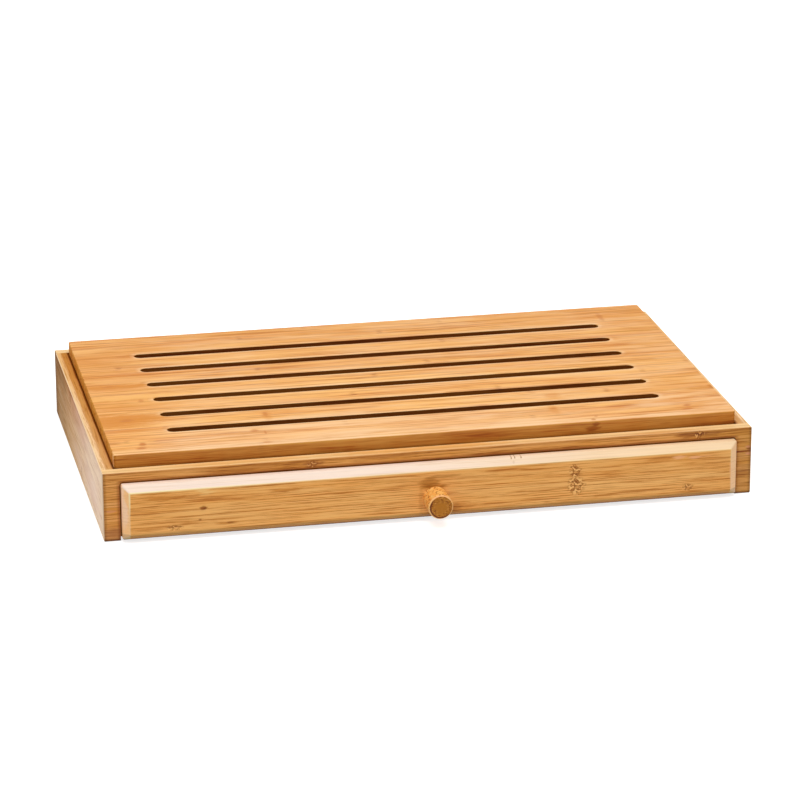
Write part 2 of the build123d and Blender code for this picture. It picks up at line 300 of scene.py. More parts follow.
class Bench:
    """Adds nodes to one tree, in rows, and links the sockets that they are given."""

    def __init__(self, tree):
        self.tree = tree
        self.made = 0

    def node(self, kind, inputs=None, **settings):
        node = self.tree.nodes.new("ShaderNode" + kind)
        row, column = divmod(self.made, NODES_IN_ROW)
        node.location = (column * NODE_STEP[0], row * NODE_STEP[1])
        self.made += 1
        for setting, value in settings.items():
            setattr(node, setting, value)
        for socket, value in (inputs or {}).items():
            self.feed(node.inputs[socket], value)
        return node

    def feed(self, socket, value):
        if isinstance(value, bpy.types.NodeSocket):
            self.tree.links.new(value, socket)
        elif socket.type == "RGBA":
            socket.default_value = (*value, 1.0)
        else:
            socket.default_value = value

    def math(self, operation, *values):
        return self.node("Math", dict(enumerate(values)), operation=operation).outputs[0]

    def chain(self, operation, values):
        result = values[0]
        for value in values[1:]:
            result = self.math(operation, result, value)
        return result

    def times(self, *values):
        return self.chain("MULTIPLY", values)

    def plus(self, *values):
        return self.chain("ADD", values)

    def larger(self, *values):
        return self.chain("MAXIMUM", values)

    def smaller(self, *values):
        return self.chain("MINIMUM", values)

    def minus(self, first, second):
        return self.math("SUBTRACT", first, second)

    def over(self, first, second):
        return self.math("DIVIDE", first, second)

    def size(self, value):
        return self.math("ABSOLUTE", value)

    def swing(self, value, reach):
        """A value of 0 to 1 as a swing to both sides of 0."""
        return self.times(self.minus(value, 0.5), reach)

    def vector(self, operation, *values):
        return self.node("VectorMath", dict(enumerate(values)), operation=operation).outputs[0]

    def distance(self, across, up):
        flat = {0: self.join(across, up, 0.0)}
        return self.node("VectorMath", flat, operation="LENGTH").outputs["Value"]

    def split(self, vector):
        return self.node("SeparateXYZ", {0: vector}).outputs

    def join(self, x, y, z):
        return self.node("CombineXYZ", {0: x, 1: y, 2: z}).outputs[0]

    def ramp(self, value, span, start=0.0, end=1.0):
        """Rises smoothly from start to end over a span of (low, high), or as (low, high, start, end) says."""
        low, high, *ends = span
        inputs = dict(enumerate((value, low, high, *(ends or (start, end)))))
        return self.node("MapRange", inputs, interpolation_type="SMOOTHSTEP").outputs[0]

    def mix(self, factor, first, second, blend="MIX"):
        inputs = {0: factor, 6: first, 7: second}
        return self.node("Mix", inputs, data_type="RGBA", blend_type=blend).outputs[2]

    def noise(self, point, sizes, detail=2.0, roughness=0.6):
        """Noise over a point whose axes are counted in these sizes."""
        cell = self.vector("DIVIDE", point, sizes)
        inputs = {"Vector": cell, "Scale": 1.0, "Detail": detail, "Roughness": roughness}
        return self.node("TexNoise", inputs).outputs

    def group(self, tree, inputs):
        node = self.node("Group")
        node.node_tree = tree
        for socket, value in inputs.items():
            self.feed(node.inputs[socket], value)
        return node.outputs

    def seen(self):
        """1 for the rays that show a thing in the picture, 0 for those that light another."""
        path = self.node("LightPath").outputs
        rays = [path[kind] for kind in ("Is Camera Ray", "Is Glossy Ray", "Is Transmission Ray")]
        return self.smaller(self.plus(*rays), 1.0)


class Coat:
    """A colour that is built up in layers, each held to the places where all its masks are 1."""

    def __init__(self, bench, shade):
        self.bench = bench
        self.shade = shade

    def cover(self, colour, *masks, blend="MIX"):
        self.shade = self.bench.mix(self.bench.times(*masks), self.shade, colour, blend)

    def tint(self, colour, *masks):
        self.cover(colour, *masks, blend="MULTIPLY")


def shared_group(name, inputs, outputs):
    """Turns a function that fills a shader node group into one that gives the group, filled once."""

    def wrap(fill):
        def given_group():
            if name in bpy.data.node_groups:
                return bpy.data.node_groups[name]
            tree = bpy.data.node_groups.new(name, "ShaderNodeTree")
            for direction, sockets in (("INPUT", inputs), ("OUTPUT", outputs)):
                for kind, labels in sockets.items():
                    for label in labels:
                        socket_type = "NodeSocket" + kind
                        tree.interface.new_socket(label, in_out=direction, socket_type=socket_type)
            source = tree.nodes.new("NodeGroupInput")
            source.location = GROUP_INPUT_PLACE
            result = tree.nodes.new("NodeGroupOutput")
            result.location = GROUP_OUTPUT_PLACE
            fill(Bench(tree), source.outputs, result.inputs)
            return tree

        return given_group

    return wrap


# Bamboo, with sizes along the grain, across the laths and into the wood, in millimetres

LATH_SIZES = ("Lath Width", "Knuckle Gap", "Knuckle Length")
FIBRE_SIZES = ("Fibre Gap", "Fibre Run", "Streak Width", "Streak Run")
FINISH_SIZES = ("Lath Width", "Fibre Gap", "Streak Width", "Knuckle Gap")
PLAIN_GRAIN = {
    "Fibre Run": 18,
    "Streak Run": 30,
    "Knuckle Length": 7,
    "Lath Contrast": 0.6,
    "Patch Contrast": 0.8,
    "Streak Contrast": 0.7,
    "Fibre Strength": 0.8,
    "Knuckle Strength": 0.8,
    "Seam Strength": 0.3,
}
DRIFT_SIZE = (80, 14, 14)
DRIFT = (0, 0.8, 0.8)
SMOOTH_NOISE = 0.5
ROUGH_NOISE = 0.7
FINE_NOISE = 3.0
COARSE_NOISE = 1.0
FIBRE_CORE = (0.42, 0.12)
FIBRE_WEIGHT = (0.25, 1, 0.1, 1)
STREAK_SPAN = (0.32, 0.68)
PATCH_SIZE = (60, 6, 6)
PATCH_SPAN = (0.3, 0.7)
LATH_SEED = (3.7, 1.3)
LATH_SHIFT = (700, 90, 90)
SEAM_SPAN = (0.3, 0.05)
KNUCKLE_RAGGED_SIZE = (1, 1.1, 2.5)
KNUCKLE_RAGGED = 1.6
KNUCKLE_SPAN = (1, 0.15)
BRIGHT_STREAK = (0.5, 0.05)
BRIGHT_SHARE = 0.5
DARK_STREAK = (0.5, 0.95)
DENSE_FIBRES = (0, 1, 0.4, 1)
FIBRES_AT_END = (0, 1, 1, 0.7)
KNUCKLE_STREAK = (0.2, 0.9, 0.3, 1)
ROUGHER_STREAK = 0.1
ROUGHER_END = 0.2
ROUGHER_KNUCKLE = 0.1
FIBRE_RELIEF = -0.5
SEAM_RELIEF = -1
KNUCKLE_RELIEF = -0.6
RELIEF_DEPTH = 0.05 * MM
STAIN_RAGGED_SIZE = (7, 1, 1)
STAIN_RAGGED = 0.7
STAIN_SPAN = (0.55, 0.2)
CURL_WANDER_SIZE = (11, 3.4, 1)
CURL_WANDER = 5
CURL_REACH = (0.55, 0.3)
CURL_OUTLINE = ((0.45, 0.49), (0.6, 0.54))
CURL_PALE = (0.46, 0.4)
MARK_SEED = 0.5
END_FACING = (0.6, 0.9)
FACING = (0.5, 0.9)
WHOLE = (0, 1)


@shared_group(
    "Bamboo fibres",
    {"Vector": ["Position"], "Float": FIBRE_SIZES},
    {"Float": ["Fibre", "Streak", "Patch"]},
)
def fibre_group(bench, given, result):
    """Long fibres with soft ends: lines on a face along the grain, dots on a face across it."""
    drift = bench.noise(given["Position"], DRIFT_SIZE, roughness=SMOOTH_NOISE)["Color"]
    drift = bench.vector("SUBTRACT", drift, (0.5, 0.5, 0.5))
    position = bench.vector("ADD", given["Position"], bench.vector("MULTIPLY", drift, DRIFT))
    gap = given["Fibre Gap"]
    cell = bench.vector("DIVIDE", position, bench.join(given["Fibre Run"], gap, gap))
    fibre = bench.node("TexVoronoi", {"Vector": cell, "Scale": 1.0}).outputs
    weight = bench.ramp(bench.split(fibre["Color"])[0], FIBRE_WEIGHT)
    bench.feed(result["Fibre"], bench.times(bench.ramp(fibre["Distance"], FIBRE_CORE), weight))
    width = given["Streak Width"]
    streak = bench.noise(position, bench.join(given["Streak Run"], width, width), FINE_NOISE, ROUGH_NOISE)
    bench.feed(result["Streak"], bench.ramp(streak[0], STREAK_SPAN))
    patch = bench.noise(position, PATCH_SIZE, roughness=SMOOTH_NOISE)
    bench.feed(result["Patch"], bench.ramp(patch[0], PATCH_SPAN))


@shared_group(
    "Bamboo laths",
    {"Vector": ["Position"], "Float": LATH_SIZES},
    {"Vector": ["Position"], "Float": ["Tone", "Across", "Seam", "Knuckle"]},
)
def lath_group(bench, given, result):
    """Cuts a position into glued laths, each with its own tone, its own wood and its own knuckles."""
    x, y, z = bench.split(given["Position"])
    row = bench.over(y, given["Lath Width"])
    lath = bench.math("FLOOR", row)
    across = bench.math("FRACT", row)
    cell = {"Vector": bench.join(lath, *LATH_SEED)}
    chance = bench.node("TexWhiteNoise", cell, noise_dimensions="3D").outputs
    own = bench.vector("MULTIPLY", chance["Color"], LATH_SHIFT)
    bench.feed(result["Position"], bench.vector("ADD", given["Position"], own))
    bench.feed(result["Tone"], chance["Value"])
    start, side = bench.split(chance["Color"])[:2]
    flip = bench.math("GREATER_THAN", side, 0.5)
    bench.feed(result["Across"], bench.size(bench.minus(across, flip)))
    edge = bench.times(bench.smaller(across, bench.minus(1.0, across)), given["Lath Width"])
    bench.feed(result["Seam"], bench.ramp(edge, SEAM_SPAN))
    turn = bench.math("FRACT", bench.plus(bench.over(x, given["Knuckle Gap"]), start))
    along = bench.swing(turn, given["Knuckle Gap"])
    ragged = bench.noise(bench.join(lath, y, z), KNUCKLE_RAGGED_SIZE)[0]
    ragged = bench.times(bench.swing(ragged, given["Knuckle Length"]), KNUCKLE_RAGGED)
    off = bench.size(bench.plus(along, ragged))
    half_length = bench.times(given["Knuckle Length"], 0.5)
    bench.feed(result["Knuckle"], bench.ramp(bench.over(off, half_length), KNUCKLE_SPAN))


@shared_group(
    "Laminated bamboo",
    {
        "Vector": ["Position"],
        "Float": ["End Face", *FINISH_SIZES, *PLAIN_GRAIN, "Roughness"],
        "Color": ["Pale", "Deep", "Fibre Tint", "Knuckle Tint", "End Tint"],
    },
    {"Color": ["Color"], "Float": ["Roughness", "Relief", "Streak"]},
)
def bamboo_group(bench, given, result):
    """Laminated bamboo at a position in millimetres, with the grain along its x and the laths along its y."""
    sizes = {label: given[label] for label in LATH_SIZES}
    laths = bench.group(lath_group(), {"Position": given["Position"], **sizes})
    sizes = {label: given[label] for label in FIBRE_SIZES}
    fibres = bench.group(fibre_group(), {"Position": laths["Position"], **sizes})
    streak = fibres["Streak"]
    depth = bench.swing(laths["Tone"], given["Lath Contrast"])
    depth = bench.plus(0.5, depth, bench.swing(fibres["Patch"], given["Patch Contrast"]))
    coat = Coat(bench, bench.mix(depth, given["Pale"], given["Deep"]))
    bright = bench.times(bench.ramp(streak, BRIGHT_STREAK), given["Streak Contrast"])
    coat.cover(given["Pale"], bright, BRIGHT_SHARE)
    coat.tint(given["Fibre Tint"], bench.ramp(streak, DARK_STREAK), given["Streak Contrast"])
    dense = bench.ramp(laths["Across"], DENSE_FIBRES)
    at_end = bench.ramp(given["End Face"], FIBRES_AT_END)
    coat.tint(given["Fibre Tint"], fibres["Fibre"], dense, given["Fibre Strength"], at_end)
    knuckle = bench.times(laths["Knuckle"], given["Knuckle Strength"])
    knuckle = bench.times(knuckle, bench.ramp(streak, KNUCKLE_STREAK))
    coat.tint(given["Knuckle Tint"], knuckle)
    coat.tint(given["Fibre Tint"], laths["Seam"], given["Seam Strength"])
    coat.tint(given["End Tint"], given["End Face"])
    bench.feed(result["Color"], coat.shade)
    bench.feed(result["Streak"], streak)
    rougher = bench.plus(
        given["Roughness"],
        bench.swing(streak, ROUGHER_STREAK),
        bench.times(given["End Face"], ROUGHER_END),
        bench.times(knuckle, ROUGHER_KNUCKLE),
    )
    bench.feed(result["Roughness"], rougher)
    relief = bench.plus(
        bench.times(fibres["Fibre"], FIBRE_RELIEF),
        bench.times(laths["Seam"], SEAM_RELIEF),
        bench.times(knuckle, KNUCKLE_RELIEF),
    )
    bench.feed(result["Relief"], relief)


@shared_group(
    "Wood stain",
    {"Vector": ["Position", "Centre"], "Float": ["Length", "Width"]},
    {"Float": ["Mask"]},
)
def stain_group(bench, given, result):
    """A long patch at a stated place, ragged along the grain."""
    x, y = bench.split(bench.vector("SUBTRACT", given["Position"], given["Centre"]))[:2]
    ragged = bench.noise(bench.join(x, y, MARK_SEED), STAIN_RAGGED_SIZE)[0]
    reach = bench.distance(bench.over(x, given["Length"]), bench.over(y, given["Width"]))
    reach = bench.plus(reach, bench.swing(ragged, STAIN_RAGGED))
    bench.feed(result["Mask"], bench.ramp(reach, STAIN_SPAN))


@shared_group(
    "Bamboo knuckle",
    {"Vector": ["Position", "Centre"], "Float": ["Length", "Width", "Curl Length", "Curl Width"]},
    {"Float": ["Dark", "Pale"]},
)
def knuckle_group(bench, given, result):
    """One knuckle at a stated place: pale curls with dark outlines."""
    x, y = bench.split(bench.vector("SUBTRACT", given["Position"], given["Centre"]))[:2]
    wander = bench.noise(bench.join(x, y, MARK_SEED), CURL_WANDER_SIZE)[0]
    x = bench.plus(x, bench.swing(wander, CURL_WANDER))
    reach = bench.distance(bench.over(x, given["Length"]), bench.over(y, given["Width"]))
    inside = bench.ramp(reach, CURL_REACH)
    sizes = bench.join(given["Curl Length"], given["Curl Width"], 1.0)
    curl = bench.noise(bench.join(x, y, 0.0), sizes, COARSE_NOISE, SMOOTH_NOISE)[0]
    outline = [bench.ramp(curl, span) for span in CURL_OUTLINE]
    bench.feed(result["Dark"], bench.times(inside, *outline))
    bench.feed(result["Pale"], bench.times(inside, bench.ramp(curl, CURL_PALE)))


# Materials

class Finish(Coat):
    """A material under work: its coat, its shader and its places, in millimetres of the CAD's frame."""

    def __init__(self, name):
        self.material = bpy.data.materials.new(name)
        self.material.use_nodes = True
        tree = self.material.node_tree
        tree.nodes.clear()
        super().__init__(Bench(tree), WHITE)
        self.shader = self.bench.node("BsdfPrincipled")
        self.output = self.bench.node("OutputMaterial", {"Surface": self.shader.outputs[0]})
        source = self.bench.node("TexCoord").outputs
        self.point = self.bench.vector("MULTIPLY", source["Object"], (1 / MM, 1 / MM, 1 / MM))
        self.plain = self.bench.split(self.point)
        self.normal = self.bench.split(source["Normal"])

    def turned(self, along, across):
        """The point with the grain's axis first and the laths' axis second."""
        into = ({X, Y, Z} - {along, across}).pop()
        return self.bench.join(self.plain[along], self.plain[across], self.plain[into])

    def facing(self, axis, span):
        """How far the surface faces either way along an axis."""
        return self.bench.ramp(self.bench.size(self.normal[axis]), span)

    def set(self, socket, value):
        self.bench.feed(self.shader.inputs[socket], value)

    def emboss(self, height):
        """Presses a height that changes over the surface into the shader's normal."""
        inputs = {"Height": height, "Distance": RELIEF_DEPTH, "Strength": 1.0}
        self.set("Normal", self.bench.node("Bump", inputs).outputs[0])

    def wear(self, *node_names):
        """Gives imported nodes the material, with its coat, in all their slots."""
        self.set("Base Color", self.shade)
        for node_name in node_names:
            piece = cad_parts[node_name]
            if not piece.material_slots:
                piece.data.materials.append(self.material)
            for slot in piece.material_slots:
                slot.link = "OBJECT"
                slot.material = self.material


class Bamboo(Finish):
    """Laminated bamboo with its grain and its laths along two axes."""

    def __init__(self, name, finish, along, across, grain=PLAIN_GRAIN):
        super().__init__(name)
        self.position = self.turned(along, across)
        sizes = (finish.lath_width, finish.fibre_gap, finish.streak_width, finish.knuckle_gap)
        inputs = {
            "Position": self.position,
            "End Face": self.facing(along, END_FACING),
            "Pale": finish.pale,
            "Deep": finish.deep,
            "Fibre Tint": finish.fibre,
            "Knuckle Tint": finish.knuckle,
            "End Tint": finish.end,
            **{label: size / MM for label, size in zip(FINISH_SIZES, sizes)},
            "Roughness": finish.roughness,
            **PLAIN_GRAIN,
            **grain,
        }
        wood = self.bench.group(bamboo_group(), inputs)
        self.shade = wood["Color"]
        self.streak = wood["Streak"]
        self.set("Roughness", wood["Roughness"])
        self.set("Specular IOR Level", finish.gloss)
        self.emboss(wood["Relief"])

    def stain(self, colour, marks, *masks, blend="MIX", position=None):
        """Lays ragged patches. A mark is (along, across, length, width, strength)."""
        for along, across, long, wide, strength in marks:
            inputs = {
                "Position": position or self.position,
                "Centre": (along, across, 0),
                "Length": long,
                "Width": wide,
            }
            patch = self.bench.group(stain_group(), inputs)["Mask"]
            self.cover(colour, patch, strength, *masks, blend=blend)

    def curl(self, finish, marks):
        """Lays knuckles. A mark is (along, across, length, width, curl length, curl width, dark, pale)."""
        for along, across, long, wide, curl_long, curl_wide, dark, pale in marks:
            inputs = {
                "Position": self.position,
                "Centre": (along, across, 0),
                "Length": long,
                "Width": wide,
                "Curl Length": curl_long,
                "Curl Width": curl_wide,
            }
            knuckle = self.bench.group(knuckle_group(), inputs)
            self.cover(finish.pale, knuckle["Pale"], pale)
            self.tint(finish.knuckle, knuckle["Dark"], dark)


def corners(node_name):
    """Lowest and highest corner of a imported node, in millimetres."""
    return [corner / MM for corner in map(Vector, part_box(node_name))]


# Cutting board, with spans in millimetres but for those of a noise, a streak or a normal

BOARD_GRAIN = {"Knuckle Length": 6, "Fibre Run": 50, "Streak Run": 80, "Streak Contrast": 0.8}
BLOOM_SIZE = (55, 8, 1)
BLOOM_SEED = 2.5
PEACH_BLOOM = (0.42, 0.66)
PEACH_ALONG = (-190, -130, 0.2, 0.75)
PEACH_ACROSS = (-110, -40, 1, 0.5)
AMBER_LEFT = (-130, -195, 0, 0.45)
AMBER_LEFT_FRONT = (-92, -70, 0.1, 1)
AMBER_BACK = (0, 110, 0, 0.3)
AMBER_RIGHT = (120, 200, 0, 0.35)
AMBER_BLOOM = (0.62, 0.4, 0.2, 1)
FRONT_PEACH = (-62, -84, 0, 0.45)
FRONT_PEACH_LEFT = (-195, -140)
FRONT_PEACH_RIGHT = (150, 50, 0.2, 1)
FRONT_PEACH_STREAK = (0.8, 0.3, 0.3, 1)
RIM_REACH = (4.2, 0.4)
FRONT_EDGE_HIGHLIGHT = (12, 2)
FRONT_EDGE_HIGHLIGHT_RIGHT = (110, 180, 1, 0.3)
RIM_HIGHLIGHT_STREAK = (0.9, 0.1, 0.15, 0.65)
EDGE_FACING = (0.2, 0.6)
OUTSIDE_EDGE = (5, 4)
INSIDE_EDGE = (4, 5)
SHADE_DEPTH = (2, 10, 0, 0.5)
FACE_LINE_SIZE = (30, 0.7, 1)
FACE_LINE_SEED = 7.5
FACE_LINE_SPAN = (0.48, 0.62, 0, 0.55)
SAWN_SHADE_DEPTH = (7.9, 8.6)
CROWN_HIGHLIGHT_DEPTH = (2.8, 0.8, 0, 0.14)
UPRIGHT = (0.6, 0.3)
BOARD_END_GLOSS = 0.02
BEYOND_ROWS = 100
BOARD_AMBER_MARKS = (
    (-192, -54, 70, 34, 0.9),
    (-176, -50, 50, 14, 0.8),
    (-160, -75, 70, 10, 0.3),
    (-176, -28, 60, 10, 0.4),
    (-184, 14, 76, 12, 0.9),
    (-186, 62, 60, 18, 0.4),
    (88, -90, 9, 20, 0.5),
    (94, -63, 14, 14, 0.5),
    (-95, -62, 9, 22, 0.5),
    (112, -98, 80, 6, 0.3),
    (180, -60, 60, 10, 0.3),
    (182, -104, 50, 9, 0.4),
    (180, -112, 40, 7, 0.4),
    (122, -100, 70, 7, 0.35),
)
BOARD_PALE_MARKS = (
    (-176, -9, 90, 12, 0.8),
    (-184, -97, 30, 12, 0.6),
    (122, -88, 30, 6, 0.7),
)
BOARD_KNOT_MARKS = (
    (174.5, -100, 7, 5, 0.75),
    (173, -107, 10, 5, 0.8),
    (88.5, -88, 6, 5, 0.5),
    (168.1, 95.1, 5, 22, 0.5),
    (-180.5, -101, 6, 8, 0.85),
    (-182, -108, 9, 6, 0.8),
    (-107.5, -90, 7, 6, 0.6),
    (-101.5, -95, 2, 8, 0.6),
    (-103, -113, 8, 4, 0.5),
    (-95.5, -60, 4, 12, 0.6),
    (108, -114.5, 4, 5, 0.7),
    (111, -109, 3, 4, 0.5),
    (-184, -54, 12, 7, 0.6),
    (-187, 16, 12, 5, 0.4),
    (-170, -17, 5, 8, 0.5),
)
BOARD_FACE_MARKS = (
    (107, 48.6, 12, 5, 1),
    (109, 51.6, 6, 4, 0.9),
    (-60, 47, 50, 4, 0.4),
)


class CuttingBoardOperator(bpy.types.Operator):
    """Finish the slotted cutting board in edge-grain bamboo"""

    bl_idname = "breadboard.cutting_board"
    bl_label = "Cutting board"

    def execute(self, context):
        finish = context.scene.bread_board.board
        wood = Bamboo("board_bamboo", finish, X, Y, BOARD_GRAIN)
        low, high = corners("cutting_board")
        self.top(wood, finish, low, high)
        self.edges(wood, finish, low, high)
        wood.wear("cutting_board")
        return {"FINISHED"}

    def top(self, wood, finish, low, high):
        bench = wood.bench
        ramp = bench.ramp
        x, y = wood.plain[:Z]
        top = ramp(wood.normal[Z], FACING)
        bloom = bench.noise(bench.join(x, y, BLOOM_SEED), BLOOM_SIZE, FINE_NOISE)[0]
        wood.cover(finish.peach, ramp(bloom, PEACH_BLOOM), ramp(x, PEACH_ALONG), ramp(y, PEACH_ACROSS))
        leftwards = bench.times(ramp(x, AMBER_LEFT), ramp(y, AMBER_LEFT_FRONT))
        beyond = bench.larger(leftwards, ramp(y, AMBER_BACK), ramp(x, AMBER_RIGHT))
        wood.cover(finish.amber, beyond, ramp(bloom, AMBER_BLOOM), top)
        before_slots = bench.times(ramp(y, FRONT_PEACH), ramp(x, FRONT_PEACH_LEFT))
        before_slots = bench.times(before_slots, ramp(x, FRONT_PEACH_RIGHT))
        wood.cover(finish.peach, before_slots, ramp(wood.streak, FRONT_PEACH_STREAK), top)
        # Painted highlight: a pale, streaky band along the rims of the slots and along the front edge, weaker
        # at the right
        near_slot = ramp(self.slot_distance(bench, finish, wood.plain, high), RIM_REACH)
        near_front = ramp(bench.minus(y, low.y), FRONT_EDGE_HIGHLIGHT)
        near_front = bench.times(near_front, ramp(x, FRONT_EDGE_HIGHLIGHT_RIGHT))
        wood.cover(finish.rim, bench.larger(near_slot, near_front), ramp(wood.streak, RIM_HIGHLIGHT_STREAK))
        wood.stain(finish.amber, BOARD_AMBER_MARKS, top)
        wood.stain(finish.pale, BOARD_PALE_MARKS, top)
        wood.stain(finish.knot, BOARD_KNOT_MARKS, top)

    def edges(self, wood, finish, low, high):
        bench = wood.bench
        ramp = bench.ramp
        x, y, z = wood.plain
        inland = bench.smaller(bench.minus(y, low.y), bench.minus(high.x, bench.size(x)))
        outside = ramp(inland, OUTSIDE_EDGE)
        below_top = bench.minus(high.z, z)
        face = bench.times(wood.facing(Y, EDGE_FACING), outside)
        wood.tint(finish.face, face)
        # Painted shade: the front and back darken downwards, towards the wall tops that shade them
        wood.tint(finish.shadow, face, ramp(below_top, SHADE_DEPTH))
        line = bench.noise(bench.join(x, z, FACE_LINE_SEED), FACE_LINE_SIZE)[0]
        wood.tint(finish.fibre, face, ramp(line, FACE_LINE_SPAN))
        on_face = bench.join(x, z, 0.0)
        wood.stain(finish.knuckle, BOARD_FACE_MARKS, face, blend="MULTIPLY", position=on_face)
        sawn = bench.times(wood.facing(X, FACING), outside)
        # Painted shade: the sawn ends darken below the height of the wall tops
        wood.tint(finish.shadow, sawn, ramp(below_top, SAWN_SHADE_DEPTH))
        # Painted highlight: the front, back and sawn ends paler just under the top edge
        wood.cover(finish.pale, ramp(below_top, CROWN_HIGHLIGHT_DEPTH), bench.larger(face, sawn))
        # Darker routed wood on the walls of the slots, with painted shade inside the slots
        wood.tint(finish.slot, wood.facing(Z, UPRIGHT), ramp(inland, INSIDE_EDGE))
        gloss = ramp(bench.size(wood.normal[X]), EDGE_FACING, finish.gloss, BOARD_END_GLOSS)
        wood.set("Specular IOR Level", gloss)

    def slot_distance(self, bench, finish, plain, high):
        """Distance in millimetres from the rim of the nearest slot."""
        half_count = finish.slot_count / 2
        pitch = 2 * (high.y - finish.slot_row_margin / MM) / (finish.slot_count - 1)
        radius = finish.slot_width / MM / 2
        straight = high.x - finish.slot_end_margin / MM - radius
        row = bench.plus(bench.over(plain[Y], pitch), half_count)
        across = bench.times(bench.size(bench.minus(bench.math("FRACT", row), 0.5)), pitch)
        beyond = bench.minus(bench.size(plain[Y]), pitch * half_count)
        across = bench.larger(across, bench.times(beyond, BEYOND_ROWS))
        along = bench.larger(bench.minus(bench.size(plain[X]), straight), 0.0)
        return bench.minus(bench.distance(along, across), radius)


# Box panels

BOX_GRAIN = {"Fibre Run": 26, "Streak Run": 40, "Streak Contrast": 0.95, "Fibre Strength": 0.9}
RIGHT_SHADE = (150, 190)
BROWN_FOOT = (14, 4)
BROWN_LEFT = (-150, -190, 0, 0.5)
RAIL_STREAK = 0.8
RAIL_SHADE_EDGE = (2.4, 0.6)
RAIL_ENDS = (202, 198)
RAIL_SHADE_UNDER = (-0.6, 0, 0, 0.8)
UNDER_ARRIS_SHADE = (2.2, 1, 0, 0.45)
STILE_SHADE_EDGE = (2.6, 0.4, 0, 0.6)
STILE_HEIGHT = (1, -3)
FOOT_SHADE_HEIGHT = (2.6, 0.6)
END_ARRIS_SHADE = (2.8, 0.8, 0, 0.55)
TOP_HIGHLIGHT_FRONT = (0.3, 0.9, 0.4, 1)
TOP_HIGHLIGHT_COVER = 0.96
TOP_GRAIN = (0.4, 0.9, 0, 0.2)
TOP_MIDDLE = 0.6
OUTER_HALF = (0.5, -0.5)
OUTER_HALF_ALONG = (-120, 150, 0.04, 0.2)
OUTER_HALF_END = (175, 190, 1, 0)
TOP_SEAM = (1.2, 0.4, 0, 0.35)
END_LIT_TO_SHADED = (-90, 100)
END_FRONT_ARRIS_SHADE = (2.4, 0.8, 0, 0.45)
BOX_SIDEWAYS = (0.4, 0.8)
BOX_OUTSIDE = (4, 3)
END_COVER = 0.85
END_GLOSS_ALONG = (-110, 100, 1, 0)
BACK_END = (0, 60)
TOP_GLOSS = (*FACING, 1, 0.4)
INNER_GLOSS = (0.2, 0.8)
FULL_GLOSS = 1.0
BOX_KNOTS_AND_SHADE = (
    (170, 42.8, 26, 5, 0.7),
    (182, 42.6, 22, 4, 0.5),
    (-76, 42, 16, 5, 0.7),
    (60, 40, 120, 3, 0.4),
    (-120, 42, 90, 5, 0.4),
    (-30, 43, 60, 4, 0.4),
    (-203, 6, 14, 6, 0.4),
    (205, 14, 14, 8, 0.4),
)
BOX_GLUE_MARKS = (
    (205, 28.9, 44, 1.4, 1),
    (209, 30.6, 6, 2.6, 0.8),
    (204, 25.6, 30, 0.9, 0.5),
)
BOX_BLUSHES = (
    (208.5, 27.2, 6, 2.2, 0.8),
    (208.5, 31.9, 6, 2, 0.7),
    (-205, 20, 9, 2.4, 0.5),
)
BOX_KNUCKLES = (
    (174.5, 42.8, 8, 7, 1.6, 3, 0.9, 1),
    (-77.1, 41.6, 9, 5, 2.4, 1.4, 0.5, 0.8),
)
BOX_WARM_MARKS = (
    (-125, -123, 110, 9, 0.7),
    (-5, -123, 150, 10, 1),
    (150, -125, 50, 6, 0.7),
)

# Side walls

SIDE_GRAIN = {"Streak Contrast": 0.6}
SIDE_BACK_SHADE = (20, 110)
SIDE_UPPER_SHADE = (24, 37)
SIDE_UPPER_SHADE_FRONT = (-80, -20)
SIDE_UPPER_SHADE_BACK = (20, 70, 1, 0.3)
SIDE_FAR_SHADE_TOP = (28, 38)
SIDE_FAR_SHADE = (45, 80)
SIDE_CORNER_SHADE = (102, 118)
SIDE_UNDER_ARRIS_SHADE = (41.8, 44.2, 0, 0.9)
OUTER_PLY = 0.43
PLY_RAGGED = 1.6
PLY_SOFT = (-0.6, 0.6)
OUTER_PLY_FAR = (10, 80)
PLY_LINE = (0.9, 0.2, 0, 0.5)
PLY_GRAIN = (0.5, 1, 0, 0.9)
INNER_EDGE_SHADE = (1, 0.4)
PLY_COVER = (*FACING, 0, 0.85)
ARRIS_OUTWARD = (0.15, 0.4)
ARRIS_UPWARD = (0.25, 0.5)
ARRIS_PLY = (0, 1, 0, 0.9)
SHEEN_ALONG = (95, -127)
SIDE_TOP_GLOSS = (0.2, 0.5, 1, 0.2)
SIDE_BLUSHES = (
    (-70, 16, 90, 26, 0.5),
    (62, 24, 60, 18, 0.15),
    (0, 12, 60, 14, 0.4),
)


